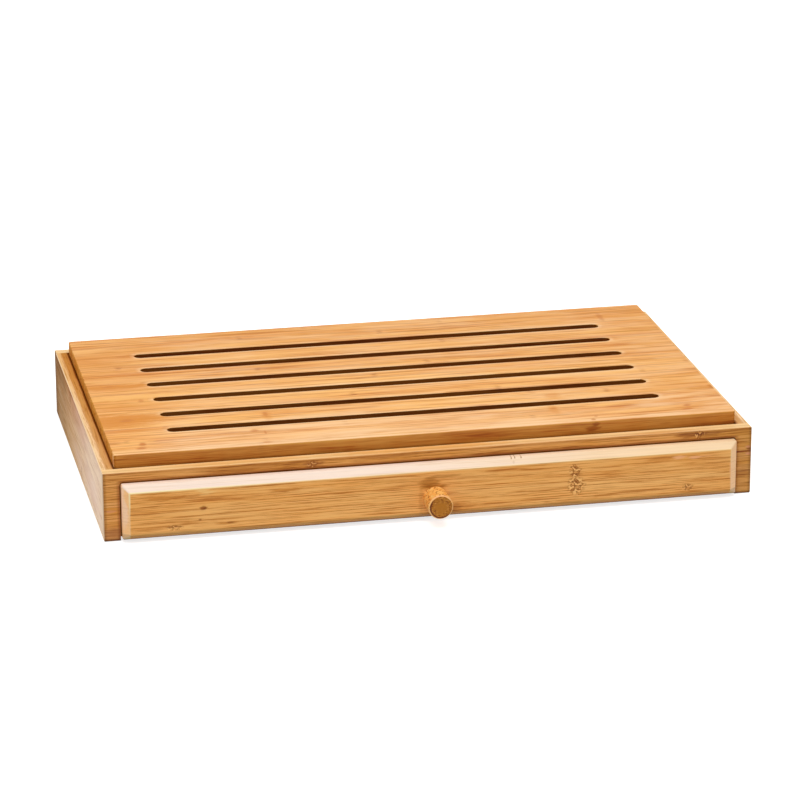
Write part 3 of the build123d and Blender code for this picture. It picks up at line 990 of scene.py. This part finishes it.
class BoxOperator(bpy.types.Operator):
    """Finish the four walls of the box in bamboo"""

    bl_idname = "breadboard.box_walls"
    bl_label = "Box walls"

    def execute(self, context):
        self.panels(context.scene.bread_board.box)
        self.side_walls(context.scene.bread_board.side)
        return {"FINISHED"}

    def panels(self, finish):
        wood = Bamboo("box_bamboo", finish, X, Z, BOX_GRAIN)
        bench = wood.bench
        low, high = corners("front_panel")
        from_end = bench.minus(high.x, bench.size(wood.plain[X]))
        from_front = bench.minus(wood.plain[Y], low.y)
        self.panel_faces(wood, finish, high, from_end)
        self.panel_tops(wood, finish, from_front)
        self.panel_ends(wood, finish, high, from_end, from_front)
        wood.wear("front_panel", "back_panel")

    def panel_faces(self, wood, finish, high, from_end):
        bench = wood.bench
        ramp = bench.ramp
        x, z = wood.plain[X], wood.plain[Z]
        # Painted shade: the panels darker towards the right end
        wood.tint(finish.right, ramp(x, RIGHT_SHADE))
        wood.cover(finish.low, ramp(z, BROWN_FOOT), ramp(x, BROWN_LEFT))
        # Dark marks: a few knuckles, and long faint bands along the rail that are painted shade
        wood.stain(finish.knuckle, BOX_KNOTS_AND_SHADE, blend="MULTIPLY")
        wood.stain(finish.glue, BOX_GLUE_MARKS, blend="MULTIPLY")
        wood.stain(finish.blush, BOX_BLUSHES)
        wood.curl(finish, BOX_KNUCKLES)
        # Painted shade: a dark band along the rail's lower edge, over the drawer
        above_rail_foot = bench.minus(z, high.z - finish.rail_height / MM)
        edge = bench.plus(above_rail_foot, bench.times(wood.streak, RAIL_STREAK))
        edge = bench.times(ramp(edge, RAIL_SHADE_EDGE), ramp(bench.size(x), RAIL_ENDS))
        wood.tint(finish.rail, edge, ramp(above_rail_foot, RAIL_SHADE_UNDER))
        # Painted shade: a darker band just under the panels' top edge
        wood.tint(finish.knuckle, ramp(bench.minus(high.z, z), UNDER_ARRIS_SHADE))
        # Painted shade on the stiles, next to the drawer's opening
        beside_opening = bench.minus(finish.stile_width / MM, from_end)
        wood.tint(finish.rail, ramp(beside_opening, STILE_SHADE_EDGE), ramp(above_rail_foot, STILE_HEIGHT))
        # Painted shade along the panels' lowest edge and down their rounded ends
        wood.tint(finish.foot_shade, ramp(z, FOOT_SHADE_HEIGHT))
        wood.tint(finish.foot_shade, ramp(from_end, END_ARRIS_SHADE))

    def panel_tops(self, wood, finish, from_front):
        bench = wood.bench
        ramp = bench.ramp
        x, y = wood.plain[:Z]
        # Painted highlight: the panels' upward faces paler than their wood
        upward = bench.times(ramp(wood.normal[Z], FACING), ramp(from_front, TOP_HIGHLIGHT_FRONT))
        wood.cover(finish.top, upward, TOP_HIGHLIGHT_COVER)
        wood.stain(finish.top_warm, BOX_WARM_MARKS, upward, position=bench.join(x, y, 0.0))
        past_middle = bench.minus(from_front, finish.rail_height * TOP_MIDDLE / MM)
        outer_half = bench.times(ramp(past_middle, OUTER_HALF), ramp(x, OUTER_HALF_ALONG))
        wood.tint(finish.notch, upward, outer_half, ramp(x, OUTER_HALF_END))
        seam = ramp(bench.size(past_middle), TOP_SEAM)
        wood.tint(finish.fibre, upward, bench.larger(ramp(wood.streak, TOP_GRAIN), seam))

    def panel_ends(self, wood, finish, high, from_end, from_front):
        bench = wood.bench
        ramp = bench.ramp
        y = wood.plain[Y]
        sideways = wood.facing(X, BOX_SIDEWAYS)
        outside = ramp(from_end, BOX_OUTSIDE)
        # Painted light and shade: the ends pale at the front, dark at the back
        sawn = Coat(bench, bench.mix(ramp(y, END_LIT_TO_SHADED), finish.end_front_lit, finish.end_back_shaded))
        # Painted shade on the ends, next to the front face
        sawn.tint(finish.foot_shade, ramp(from_front, END_FRONT_ARRIS_SHADE))
        wood.cover(bench.mix(outside, finish.notch, sawn.shade), sideways, END_COVER)
        glossy_end = bench.times(sideways, outside, ramp(y, END_GLOSS_ALONG))
        from_inner_face = bench.plus(bench.size(y), high.y)
        gloss = bench.times(
            ramp(glossy_end, WHOLE, finish.gloss, FULL_GLOSS),
            ramp(bench.times(sideways, ramp(y, BACK_END)), WHOLE, 1.0, 0.0),
            ramp(wood.normal[Z], TOP_GLOSS),
            ramp(from_inner_face, INNER_GLOSS),
        )
        wood.set("Specular IOR Level", gloss)

    def side_walls(self, finish):
        wood = Bamboo("side_bamboo", finish, Y, Z, SIDE_GRAIN)
        bench = wood.bench
        ramp = bench.ramp
        x, y, z = wood.plain
        low, high = corners("left_side")
        # Painted shade on the side walls: darker towards the back, in the upper part, at the back corner and
        # just under the top edge
        wood.tint(finish.back, ramp(y, SIDE_BACK_SHADE))
        upper = bench.times(ramp(z, SIDE_UPPER_SHADE), ramp(y, SIDE_UPPER_SHADE_FRONT))
        wood.tint(finish.upper, upper, ramp(y, SIDE_UPPER_SHADE_BACK))
        far_top_shade = bench.times(ramp(z, SIDE_FAR_SHADE_TOP), ramp(y, SIDE_FAR_SHADE))
        wood.tint(finish.corner, bench.larger(far_top_shade, ramp(y, SIDE_CORNER_SHADE)))
        wood.tint(finish.upper, ramp(z, SIDE_UNDER_ARRIS_SHADE))
        wood.stain(finish.blush, SIDE_BLUSHES)
        joint = -low.lerp(high, OUTER_PLY).x
        from_joint = bench.minus(bench.size(x), joint)
        ragged = bench.plus(from_joint, bench.swing(wood.streak, PLY_RAGGED))
        edge = Coat(bench, bench.mix(ramp(ragged, PLY_SOFT), finish.inner, finish.outer))
        edge.tint(finish.outer_far, ramp(y, OUTER_PLY_FAR))
        line = ramp(bench.size(ragged), PLY_LINE)
        edge.tint(finish.fibre, bench.larger(ramp(wood.streak, PLY_GRAIN), line))
        from_inner_face = bench.plus(bench.size(x), high.x)
        # Painted shade on the inner edge of the wall's top, next to the gap by the board
        edge.tint(finish.shade_tint, ramp(from_inner_face, INNER_EDGE_SHADE))
        wood.cover(edge.shade, ramp(wood.normal[Z], PLY_COVER))
        # Painted highlight on the rounded outer top edge
        turned = bench.times(wood.facing(X, ARRIS_OUTWARD), ramp(wood.normal[Z], ARRIS_UPWARD))
        wood.cover(finish.arris, turned, ramp(from_joint, ARRIS_PLY))
        sheen = ramp(y, SHEEN_ALONG)
        gloss = bench.times(sheen, sheen, sheen, finish.gloss)
        gloss = bench.times(gloss, ramp(wood.normal[Z], SIDE_TOP_GLOSS), ramp(from_inner_face, INNER_GLOSS))
        wood.set("Specular IOR Level", gloss)
        wood.wear("left_side", "right_side")


class BoxInsideOperator(bpy.types.Operator):
    """Finish the floor, the ledges and the guides inside the box"""

    bl_idname = "breadboard.box_inside"
    bl_label = "Box floor, ledges and guides"

    def execute(self, context):
        finish = context.scene.bread_board.tray
        strips = ("left_ledge", "right_ledge", "left_guide", "right_guide")
        Bamboo("panel_bamboo", finish, X, Y).wear("floor_panel")
        Bamboo("strip_bamboo", finish, Y, Z).wear(*strips)
        Bamboo("cross_strip_bamboo", finish, X, Z).wear("front_ledge", "back_ledge")
        return {"FINISHED"}


# Dowels and screw

BEECH_FLECK_SIZE = (4, 0.5, 0.5)
BEECH_FLECK_SPAN = (0.5, 0.72)
BEECH_END = (*END_FACING, 0, 0.3)
BEECH_ROUGHNESS = (0, 1, 0.55, 0.65)
STEEL_SPECK_SIZE = (1.111, 1.111, 1.111)
STEEL_SPECK_SPAN = (0.35, 0.7)
STEEL_DARK = 0.7
STEEL_ROUGHNESS = (0.3, 0.7, 0.28, 0.45)


class DowelOperator(bpy.types.Operator):
    """Finish the corner dowels in beech"""

    bl_idname = "breadboard.dowels"
    bl_label = "Corner dowels"

    def execute(self, context):
        finish = context.scene.bread_board.fittings
        wood = Finish("dowel_wood")
        ramp = wood.bench.ramp
        fleck = wood.bench.noise(wood.turned(Y, Z), BEECH_FLECK_SIZE, FINE_NOISE)[0]
        fleck = ramp(fleck, BEECH_FLECK_SPAN)
        wood.shade = wood.bench.mix(fleck, finish.beech, finish.beech_flecks)
        wood.cover(finish.beech_flecks, wood.facing(Y, BEECH_END))
        wood.set("Roughness", ramp(fleck, BEECH_ROUGHNESS))
        wood.wear("corner_dowels")
        return {"FINISHED"}


class ScrewOperator(bpy.types.Operator):
    """Finish the knob's screw in plated steel"""

    bl_idname = "breadboard.screw"
    bl_label = "Knob screw"

    def execute(self, context):
        finish = context.scene.bread_board.fittings
        steel = Finish("screw_steel")
        ramp = steel.bench.ramp
        speck = steel.bench.noise(steel.point, STEEL_SPECK_SIZE, FINE_NOISE)[0]
        dark = [channel * STEEL_DARK for channel in finish.steel]
        steel.shade = steel.bench.mix(ramp(speck, STEEL_SPECK_SPAN), finish.steel, dark)
        steel.set("Metallic", 1.0)
        steel.set("Roughness", ramp(speck, STEEL_ROUGHNESS))
        steel.wear("knob_screw")
        return {"FINISHED"}


# Drawer front

DRAWER_GRAIN = {
    "Fibre Run": 34,
    "Streak Run": 44,
    "Streak Contrast": 0.95,
    "Patch Contrast": 0.6,
    "Knuckle Strength": 0,
}
DRAWER_FORWARD = (0.97, 0.9)
BEVEL_EDGE = (0.5, -0.5)
BEVEL_COVER = 0.85
BEVEL_TONES = (-60, 150)
BULGE_MIDDLE = 19
BULGE_HEIGHT = (12, 3, 0, 2.2)
BULGE_LEFT = (1, -1)
UNEVEN_SIZE = (1, 2, 3)
UNEVEN = 2.4
OUTER_BAND = 1.2
OUTER_BAND_EDGE = (0.9, -0.9)
OUTER_BAND_HEIGHT = (7, 17, 0.2, 1)
RIGHT_HALF = (-1, 1)
BEVEL_SIDEWAYS = (0.3, 0.6)
BEVEL_LINE_SIZE = (50, 0.8, 1)
BEVEL_LINE_SEED = 3.5
BEVEL_LINE_SPAN = (0.5, 0.68, 0, 0.3)
ARRIS_REACH = (0.7, 0.2)
ARRIS_ALONG = (-195, -60, 0.9, 0.35)
ARRIS_HEIGHT = (16, 30, 0.15, 1)
FOOT_SHADE_FACING = (-0.25, -0.6)
FOOT_SHADE_LINE_HEIGHT = (1.1, 0.4)
LOWER_EDGE_SHADE = (1.6, 0.4)
WITHIN_BOX = (-0.2, 0.4)
INSIDE_SHADE_SHARE = 0.5
DRAWER_DEEP_MARKS = (
    (-170, 28.6, 44, 4, 0.8),
    (-178, 32.4, 26, 2.6, 0.7),
    (-95, 28.4, 26, 3.4, 0.8),
    (-133, 9.2, 16, 2, 0.7),
    (-20, 29, 90, 3, 0.4),
    (16, 8, 24, 8, 0.6),
    (148, 30, 24, 5, 0.6),
    (95, 6.8, 60, 3, 0.5),
)
DRAWER_BLUSHES = (
    (160, 30.7, 10, 3.2, 0.8),
    (170.5, 29.9, 10, 2.4, 0.8),
    (178, 30.3, 9, 1.6, 0.3),
    (194.3, 20, 2.4, 18, 0.6),
)
DRAWER_CREAM_MARKS = (
    (-148.5, 32, 9, 1.8, 0.7),
    (-144.5, 30.6, 10, 1.8, 0.7),
    (-147, 29.2, 9, 1.2, 0.4),
)
KNOB_SHADOW_MARKS = (
    (-3.5, 26, 17, 7, 0.7),
    (0, 23, 20, 5, 0.8),
    (-9.2, 15, 4, 20, 0.3),
    (6, 29.5, 30, 3, 0.5),
    (11.5, 8, 14, 7, 0.5),
)
DRAWER_KNOT_MARKS = (
    (-147.9, 20.6, 5.8, 3.8, 1),
    (-147, 20.2, 2.6, 2, 0.5),
    (-166.3, 9.2, 12, 2, 0.7),
    (-150.3, 12.8, 2.4, 1.8, 0.8),
    (-131, 9.6, 6, 1.8, 0.6),
    (165.4, 10.4, 5, 1.6, 0.6),
    (91.5, 21.5, 9, 22, 0.25),
)
DRAWER_KNUCKLES = (
    (91, 26.6, 9, 10, 3, 2.4, 0.9, 1),
    (92, 16.6, 13, 14, 3, 2.4, 0.9, 1),
    (165.6, 9.8, 9, 5, 2.6, 1.8, 0.8, 0.7),
    (-166.3, 8.6, 12, 4.5, 2.8, 1.2, 0.6, 0.8),
)
DRAWER_DOTS = (
    (49.8, 37.4, 1, 1.7, 0.9),
    (52.1, 37.5, 1, 1.5, 0.8),
    (56.2, 37.4, 1.2, 1.6, 0.8),
    (51, 35.2, 1.8, 2.6, 0.2),
)


class DrawerFrontOperator(bpy.types.Operator):
    """Finish the bevelled drawer front in flat-grain bamboo"""

    bl_idname = "breadboard.drawer_front"
    bl_label = "Drawer front"

    def execute(self, context):
        finish = context.scene.bread_board.drawer
        wood = Bamboo("drawer_bamboo", finish, X, Z, DRAWER_GRAIN)
        bare_wood = wood.shade
        low, high = corners("drawer_front")
        self.patches(wood, finish)
        glossy_bevel = self.bevels(wood, finish, high)
        self.lower_edges(wood, finish, low)
        wood.stain(finish.knuckle, DRAWER_DOTS, blend="MULTIPLY")
        bench = wood.bench
        # Painted shade: the faces inside the box get a browner colour
        behind_box_front = bench.minus(wood.plain[Y], corners("front_panel")[0].y)
        within = bench.ramp(behind_box_front, WITHIN_BOX)
        wood.cover(bench.mix(INSIDE_SHADE_SHARE, bare_wood, finish.inside), within)
        gloss = bench.ramp(glossy_bevel, WHOLE, finish.gloss, FULL_GLOSS)
        wood.set("Specular IOR Level", bench.times(gloss, bench.ramp(within, WHOLE, 1.0, 0.0)))
        wood.wear("drawer_front")
        return {"FINISHED"}

    def patches(self, wood, finish):
        wood.stain(finish.stain, DRAWER_DEEP_MARKS, blend="MULTIPLY")
        wood.stain(finish.blush, DRAWER_BLUSHES)
        wood.stain(finish.cream, DRAWER_CREAM_MARKS)
        # Painted shadow of the knob on the field: above and left of it, and at its lower right
        wood.stain(finish.shade_tint, KNOB_SHADOW_MARKS, blend="MULTIPLY")
        wood.stain(finish.knuckle, DRAWER_KNOT_MARKS, blend="MULTIPLY")
        wood.curl(finish, DRAWER_KNUCKLES)

    def bevels(self, wood, finish, high):
        """Lays the bevels over the field, with a painted highlight on their edge. Gives a mask of the bevels
        at the ends.
        """
        bench = wood.bench
        ramp = bench.ramp
        x, z = wood.plain[X], wood.plain[Z]
        from_side = bench.minus(high.x, bench.size(x))
        near = bench.smaller(from_side, bench.minus(high.z, z))
        past_bevel = bench.minus(near, finish.bevel_width / MM)
        forward = ramp(bench.times(wood.normal[Y], -1.0), DRAWER_FORWARD)
        bevel = bench.times(ramp(past_bevel, BEVEL_EDGE), forward)
        sideways = wood.facing(X, BEVEL_SIDEWAYS)
        # Paler cut wood on the bevels, painted paler still as a highlight, strongest at the left
        bare = Coat(bench, bench.mix(ramp(x, BEVEL_TONES), finish.bevel, finish.bevel_right))
        bare.cover(self.side_bevels(wood, finish, from_side), sideways)
        line = bench.noise(bench.join(x, z, BEVEL_LINE_SEED), BEVEL_LINE_SIZE)[0]
        bare.tint(finish.stain, ramp(line, BEVEL_LINE_SPAN))
        wood.cover(bare.shade, bevel, BEVEL_COVER)
        # Painted highlight on the edge between the bevels and the field, fading down the sides
        arris = bench.times(ramp(bench.size(past_bevel), ARRIS_REACH), ramp(x, ARRIS_ALONG))
        wood.cover(finish.arris, arris, ramp(z, ARRIS_HEIGHT))
        return bench.times(bevel, sideways)

    def lower_edges(self, wood, finish, low):
        bench = wood.bench
        # Painted shade on the bevel underneath, along the lowest edge and along the field's lower edge
        wood.tint(finish.foot_shade, bench.ramp(wood.normal[Z], FOOT_SHADE_FACING))
        above_foot = bench.minus(wood.plain[Z], low.z)
        wood.tint(finish.foot_shade_line, bench.ramp(above_foot, FOOT_SHADE_LINE_HEIGHT))
        above_lower_bevel = bench.minus(above_foot, finish.bevel_foot_width / MM)
        wood.tint(finish.low, bench.ramp(above_lower_bevel, LOWER_EDGE_SHADE))

    def side_bevels(self, wood, finish, from_side):
        """Colour of the bevels at the ends: a pale, uneven band next to the box at the left, painted as a
        highlight.
        """
        bench = wood.bench
        ramp = bench.ramp
        x, z = wood.plain[X], wood.plain[Z]
        bulge = ramp(bench.size(bench.minus(z, BULGE_MIDDLE)), BULGE_HEIGHT)
        uneven = bench.noise(bench.join(0.0, x, z), UNEVEN_SIZE)[0]
        band = bench.plus(OUTER_BAND, bench.times(bulge, ramp(x, BULGE_LEFT)), bench.swing(uneven, UNEVEN))
        # Painted highlight: the pale band on the left end's bevel, next to the box
        outer = bench.times(ramp(bench.minus(from_side, band), OUTER_BAND_EDGE), ramp(z, OUTER_BAND_HEIGHT))
        left = bench.mix(outer, finish.side_inner, finish.side_outer)
        return bench.mix(ramp(x, RIGHT_HALF), left, finish.side_right)


class DrawerTrayOperator(bpy.types.Operator):
    """Finish the tray that catches the crumbs"""

    bl_idname = "breadboard.drawer_tray"
    bl_label = "Crumb tray"

    def execute(self, context):
        finish = context.scene.bread_board.tray
        Bamboo("tray_bamboo", finish, Y, Z).wear("tray_left_side", "tray_right_side")
        Bamboo("tray_back_bamboo", finish, X, Z).wear("tray_back")
        Bamboo("tray_floor_bamboo", finish, X, Y).wear("tray_floor")
        return {"FINISHED"}


# Knob, with shares of its radius where a name says so

KNOB_STREAK = 3
SPECK_SPAN = (0, 0.14)
KNOB_RIM = ((0.1, 0.35), (0.85, 0.7))
KNOB_RIM_TOP = (0.3, 0.7)
KNOB_RIM_COVER = 0.75
DISC_FACING = (0.75, 0.9)
DISC_RING_SHARES = (0.3, 0.65)
DISC_GRAIN_SIZE = (1.6, 0.8, 1)
DISC_GRAIN_SEED = 4
DARK_FLECK = (0.52, 0.64)
DARK_FLECK_RING = (0, 1, 0.15, 0.8)
PALE_FLECK = (0.42, 0.34, 0, 0.7)
DISC_SHADE_SHARES = (0.74, 0.84)
DISC_LOWER_LEFT_SHARES = (0.4, -0.4)
DISC_LOWER_LEFT_STRENGTHS = (0.1, 1.0)
KNOB_ROUGH_STREAK = (0.2, 0.8)
KNOB_SMOOTHER = 0.05
KNOB_ROUGHER = 0.08
KNOB_RIM_GLOSS = 0.05


class KnobOperator(bpy.types.Operator):
    """Finish the turned knob, the ends of its fibres showing as dots"""

    bl_idname = "breadboard.knob"
    bl_label = "Knob"

    def execute(self, context):
        finish = context.scene.bread_board.knob
        wood = Finish("knob_bamboo")
        bench = wood.bench
        ramp = bench.ramp
        gap = finish.fibre_gap / MM
        sizes = {"Fibre Gap": gap, "Fibre Run": gap, "Streak Width": KNOB_STREAK, "Streak Run": KNOB_STREAK}
        dots = bench.group(fibre_group(), {"Position": wood.point, **sizes})
        wood.shade = bench.mix(dots["Streak"], finish.pale, finish.deep)
        wood.cover(finish.speck, ramp(dots["Fibre"], SPECK_SPAN))
        forward = bench.times(wood.normal[Y], -1.0)
        # Painted highlight on the rounded rim, pinker where it faces up
        rim = bench.times(*(ramp(forward, span) for span in KNOB_RIM))
        rim_tone = bench.mix(ramp(wood.normal[Z], KNOB_RIM_TOP), finish.rim, finish.blush)
        wood.cover(rim_tone, rim, KNOB_RIM_COVER)
        wood.cover(self.disc(wood, finish), ramp(forward, DISC_FACING))
        limits = (finish.roughness - KNOB_SMOOTHER, finish.roughness + KNOB_ROUGHER)
        wood.set("Roughness", ramp(dots["Streak"], KNOB_ROUGH_STREAK, *limits))
        wood.set("Specular IOR Level", ramp(rim, WHOLE, finish.gloss, KNOB_RIM_GLOSS))
        wood.emboss(bench.times(dots["Fibre"], -1.0))
        wood.wear("drawer_knob")
        return {"FINISHED"}

    def disc(self, wood, finish):
        """Colour of the flat end: flecks in a ring, and a dark outline of painted shade at the lower left."""
        bench = wood.bench
        ramp = bench.ramp
        x, z = wood.plain[X], wood.plain[Z]
        low, high = corners("drawer_knob")
        above_middle = bench.minus(z, (low.z + high.z) / 2)
        reach = bench.over(bench.distance(x, above_middle), finish.diameter / MM / 2)
        ring = ramp(reach, DISC_RING_SHARES)
        grain = bench.noise(bench.join(x, z, DISC_GRAIN_SEED), DISC_GRAIN_SIZE)[0]
        disc = Coat(bench, finish.disc)
        disc.tint(finish.fibre, ramp(grain, DARK_FLECK), ramp(ring, DARK_FLECK_RING))
        disc.cover(finish.fleck, ramp(grain, PALE_FLECK), ring)
        # Painted shade: a dark outline at the lower left of the flat end
        lower_left = bench.over(bench.plus(x, above_middle), finish.diameter / MM / 2)
        lower_left = ramp(lower_left, DISC_LOWER_LEFT_SHARES, *DISC_LOWER_LEFT_STRENGTHS)
        disc.tint(finish.fibre, ramp(reach, DISC_SHADE_SHARES), lower_left)
        return disc.shade


class StageOperator(bpy.types.Operator):
    """Set up the camera, the soft lamp, the room's light and the pale floor"""

    bl_idname = "breadboard.stage"
    bl_label = "Stage"

    def execute(self, context):
        stage = context.scene.bread_board.stage
        self.camera(context.scene, stage)
        self.lamp(context.scene, stage)
        self.room(context.scene, stage)
        self.floor(context.scene, stage)
        context.scene.view_settings.view_transform = "Standard"
        return {"FINISHED"}

    def camera(self, scene, stage):
        data = bpy.data.cameras.new("camera")
        data.sensor_width = stage.sensor
        data.lens = stage.lens
        data.clip_end = stage.reach
        camera = bpy.data.objects.new("camera", data)
        scene.collection.objects.link(camera)
        turn = Vector((math.sin(stage.yaw), math.cos(stage.yaw), 0)) * math.cos(stage.pitch)
        ahead = turn - Vector((0, 0, math.sin(stage.pitch)))
        right = Vector((math.cos(stage.yaw), -math.sin(stage.yaw), 0))
        up = right.cross(ahead)
        leaning_right = right * math.cos(stage.roll) + up * math.sin(stage.roll)
        leaning_up = up * math.cos(stage.roll) - right * math.sin(stage.roll)
        axes = Matrix((leaning_right, leaning_up, -ahead)).transposed()
        camera.matrix_world = Matrix.Translation(stage.eye) @ axes.to_4x4()
        scene.camera = camera

    def lamp(self, scene, stage):
        data = bpy.data.lights.new("key_lamp", "AREA")
        data.shape = "SQUARE"
        data.size = stage.key_size
        data.energy = stage.key_power
        lamp = bpy.data.objects.new("key_lamp", data)
        scene.collection.objects.link(lamp)
        lamp.location = stage.key_place
        towards = -Vector(stage.key_place)
        lamp.rotation_euler = towards.to_track_quat("-Z", "Y").to_euler()

    def room(self, scene, stage):
        world = bpy.data.worlds.new("room")
        scene.world = world
        world.use_nodes = True
        world.node_tree.nodes.clear()
        bench = Bench(world.node_tree)
        strength = bench.ramp(bench.seen(), WHOLE, stage.room_light, 1.0)
        light = bench.node("Background", {"Color": WHITE, "Strength": strength})
        bench.node("OutputWorld", {"Surface": light.outputs[0]})

    def floor(self, scene, stage):
        half = stage.floor_half
        mesh = bpy.data.meshes.new("floor")
        square = [(-half, -half, 0), (half, -half, 0), (half, half, 0), (-half, half, 0)]
        mesh.from_pydata(square, [], [(0, 1, 2, 3)])
        floor = bpy.data.objects.new("floor", mesh)
        scene.collection.objects.link(floor)
        floor.location.z = -stage.floor_drop
        paper = Finish("floor_paper")
        bench = paper.bench
        paper.set("Base Color", stage.floor_tone)
        paper.set("Roughness", stage.floor_roughness)
        strength = bench.times(bench.seen(), stage.floor_glow)
        glow = bench.node("Emission", {"Color": WHITE, "Strength": strength})
        both = bench.node("AddShader", {0: paper.shader.outputs[0], 1: glow.outputs[0]})
        bench.feed(paper.output.inputs["Surface"], both.outputs[0])
        mesh.materials.append(paper.material)


PIECES = (
    StageOperator,
    CuttingBoardOperator,
    BoxOperator,
    BoxInsideOperator,
    DowelOperator,
    DrawerFrontOperator,
    DrawerTrayOperator,
    KnobOperator,
    ScrewOperator,
)


class BreadBoardPanel(bpy.types.Panel):
    """Lists the pieces of the bread board"""

    bl_idname = "VIEW3D_PT_bread_board"
    bl_label = "Bread board"
    bl_space_type = "VIEW_3D"
    bl_region_type = "UI"
    bl_category = "Bread board"

    def draw(self, context):
        for piece in PIECES:
            self.layout.operator(piece.bl_idname)


CLASSES = (
    BoardFinish,
    BoxFinish,
    SideFinish,
    DrawerFinish,
    TrayFinish,
    KnobFinish,
    FittingFinish,
    StageSettings,
    BreadBoardSettings,
    *PIECES,
    BreadBoardPanel,
)


def register():
    for each in CLASSES:
        bpy.utils.register_class(each)
    bpy.types.Scene.bread_board = PointerProperty(type=BreadBoardSettings)


def unregister():
    del bpy.types.Scene.bread_board
    for each in reversed(CLASSES):
        bpy.utils.unregister_class(each)


def main():
    register()
    bpy.ops.breadboard.stage()
    bpy.ops.breadboard.cutting_board()
    bpy.ops.breadboard.box_walls()
    bpy.ops.breadboard.box_inside()
    bpy.ops.breadboard.dowels()
    bpy.ops.breadboard.drawer_front()
    bpy.ops.breadboard.drawer_tray()
    bpy.ops.breadboard.knob()
    bpy.ops.breadboard.screw()


if __name__ == "__main__":
    main()
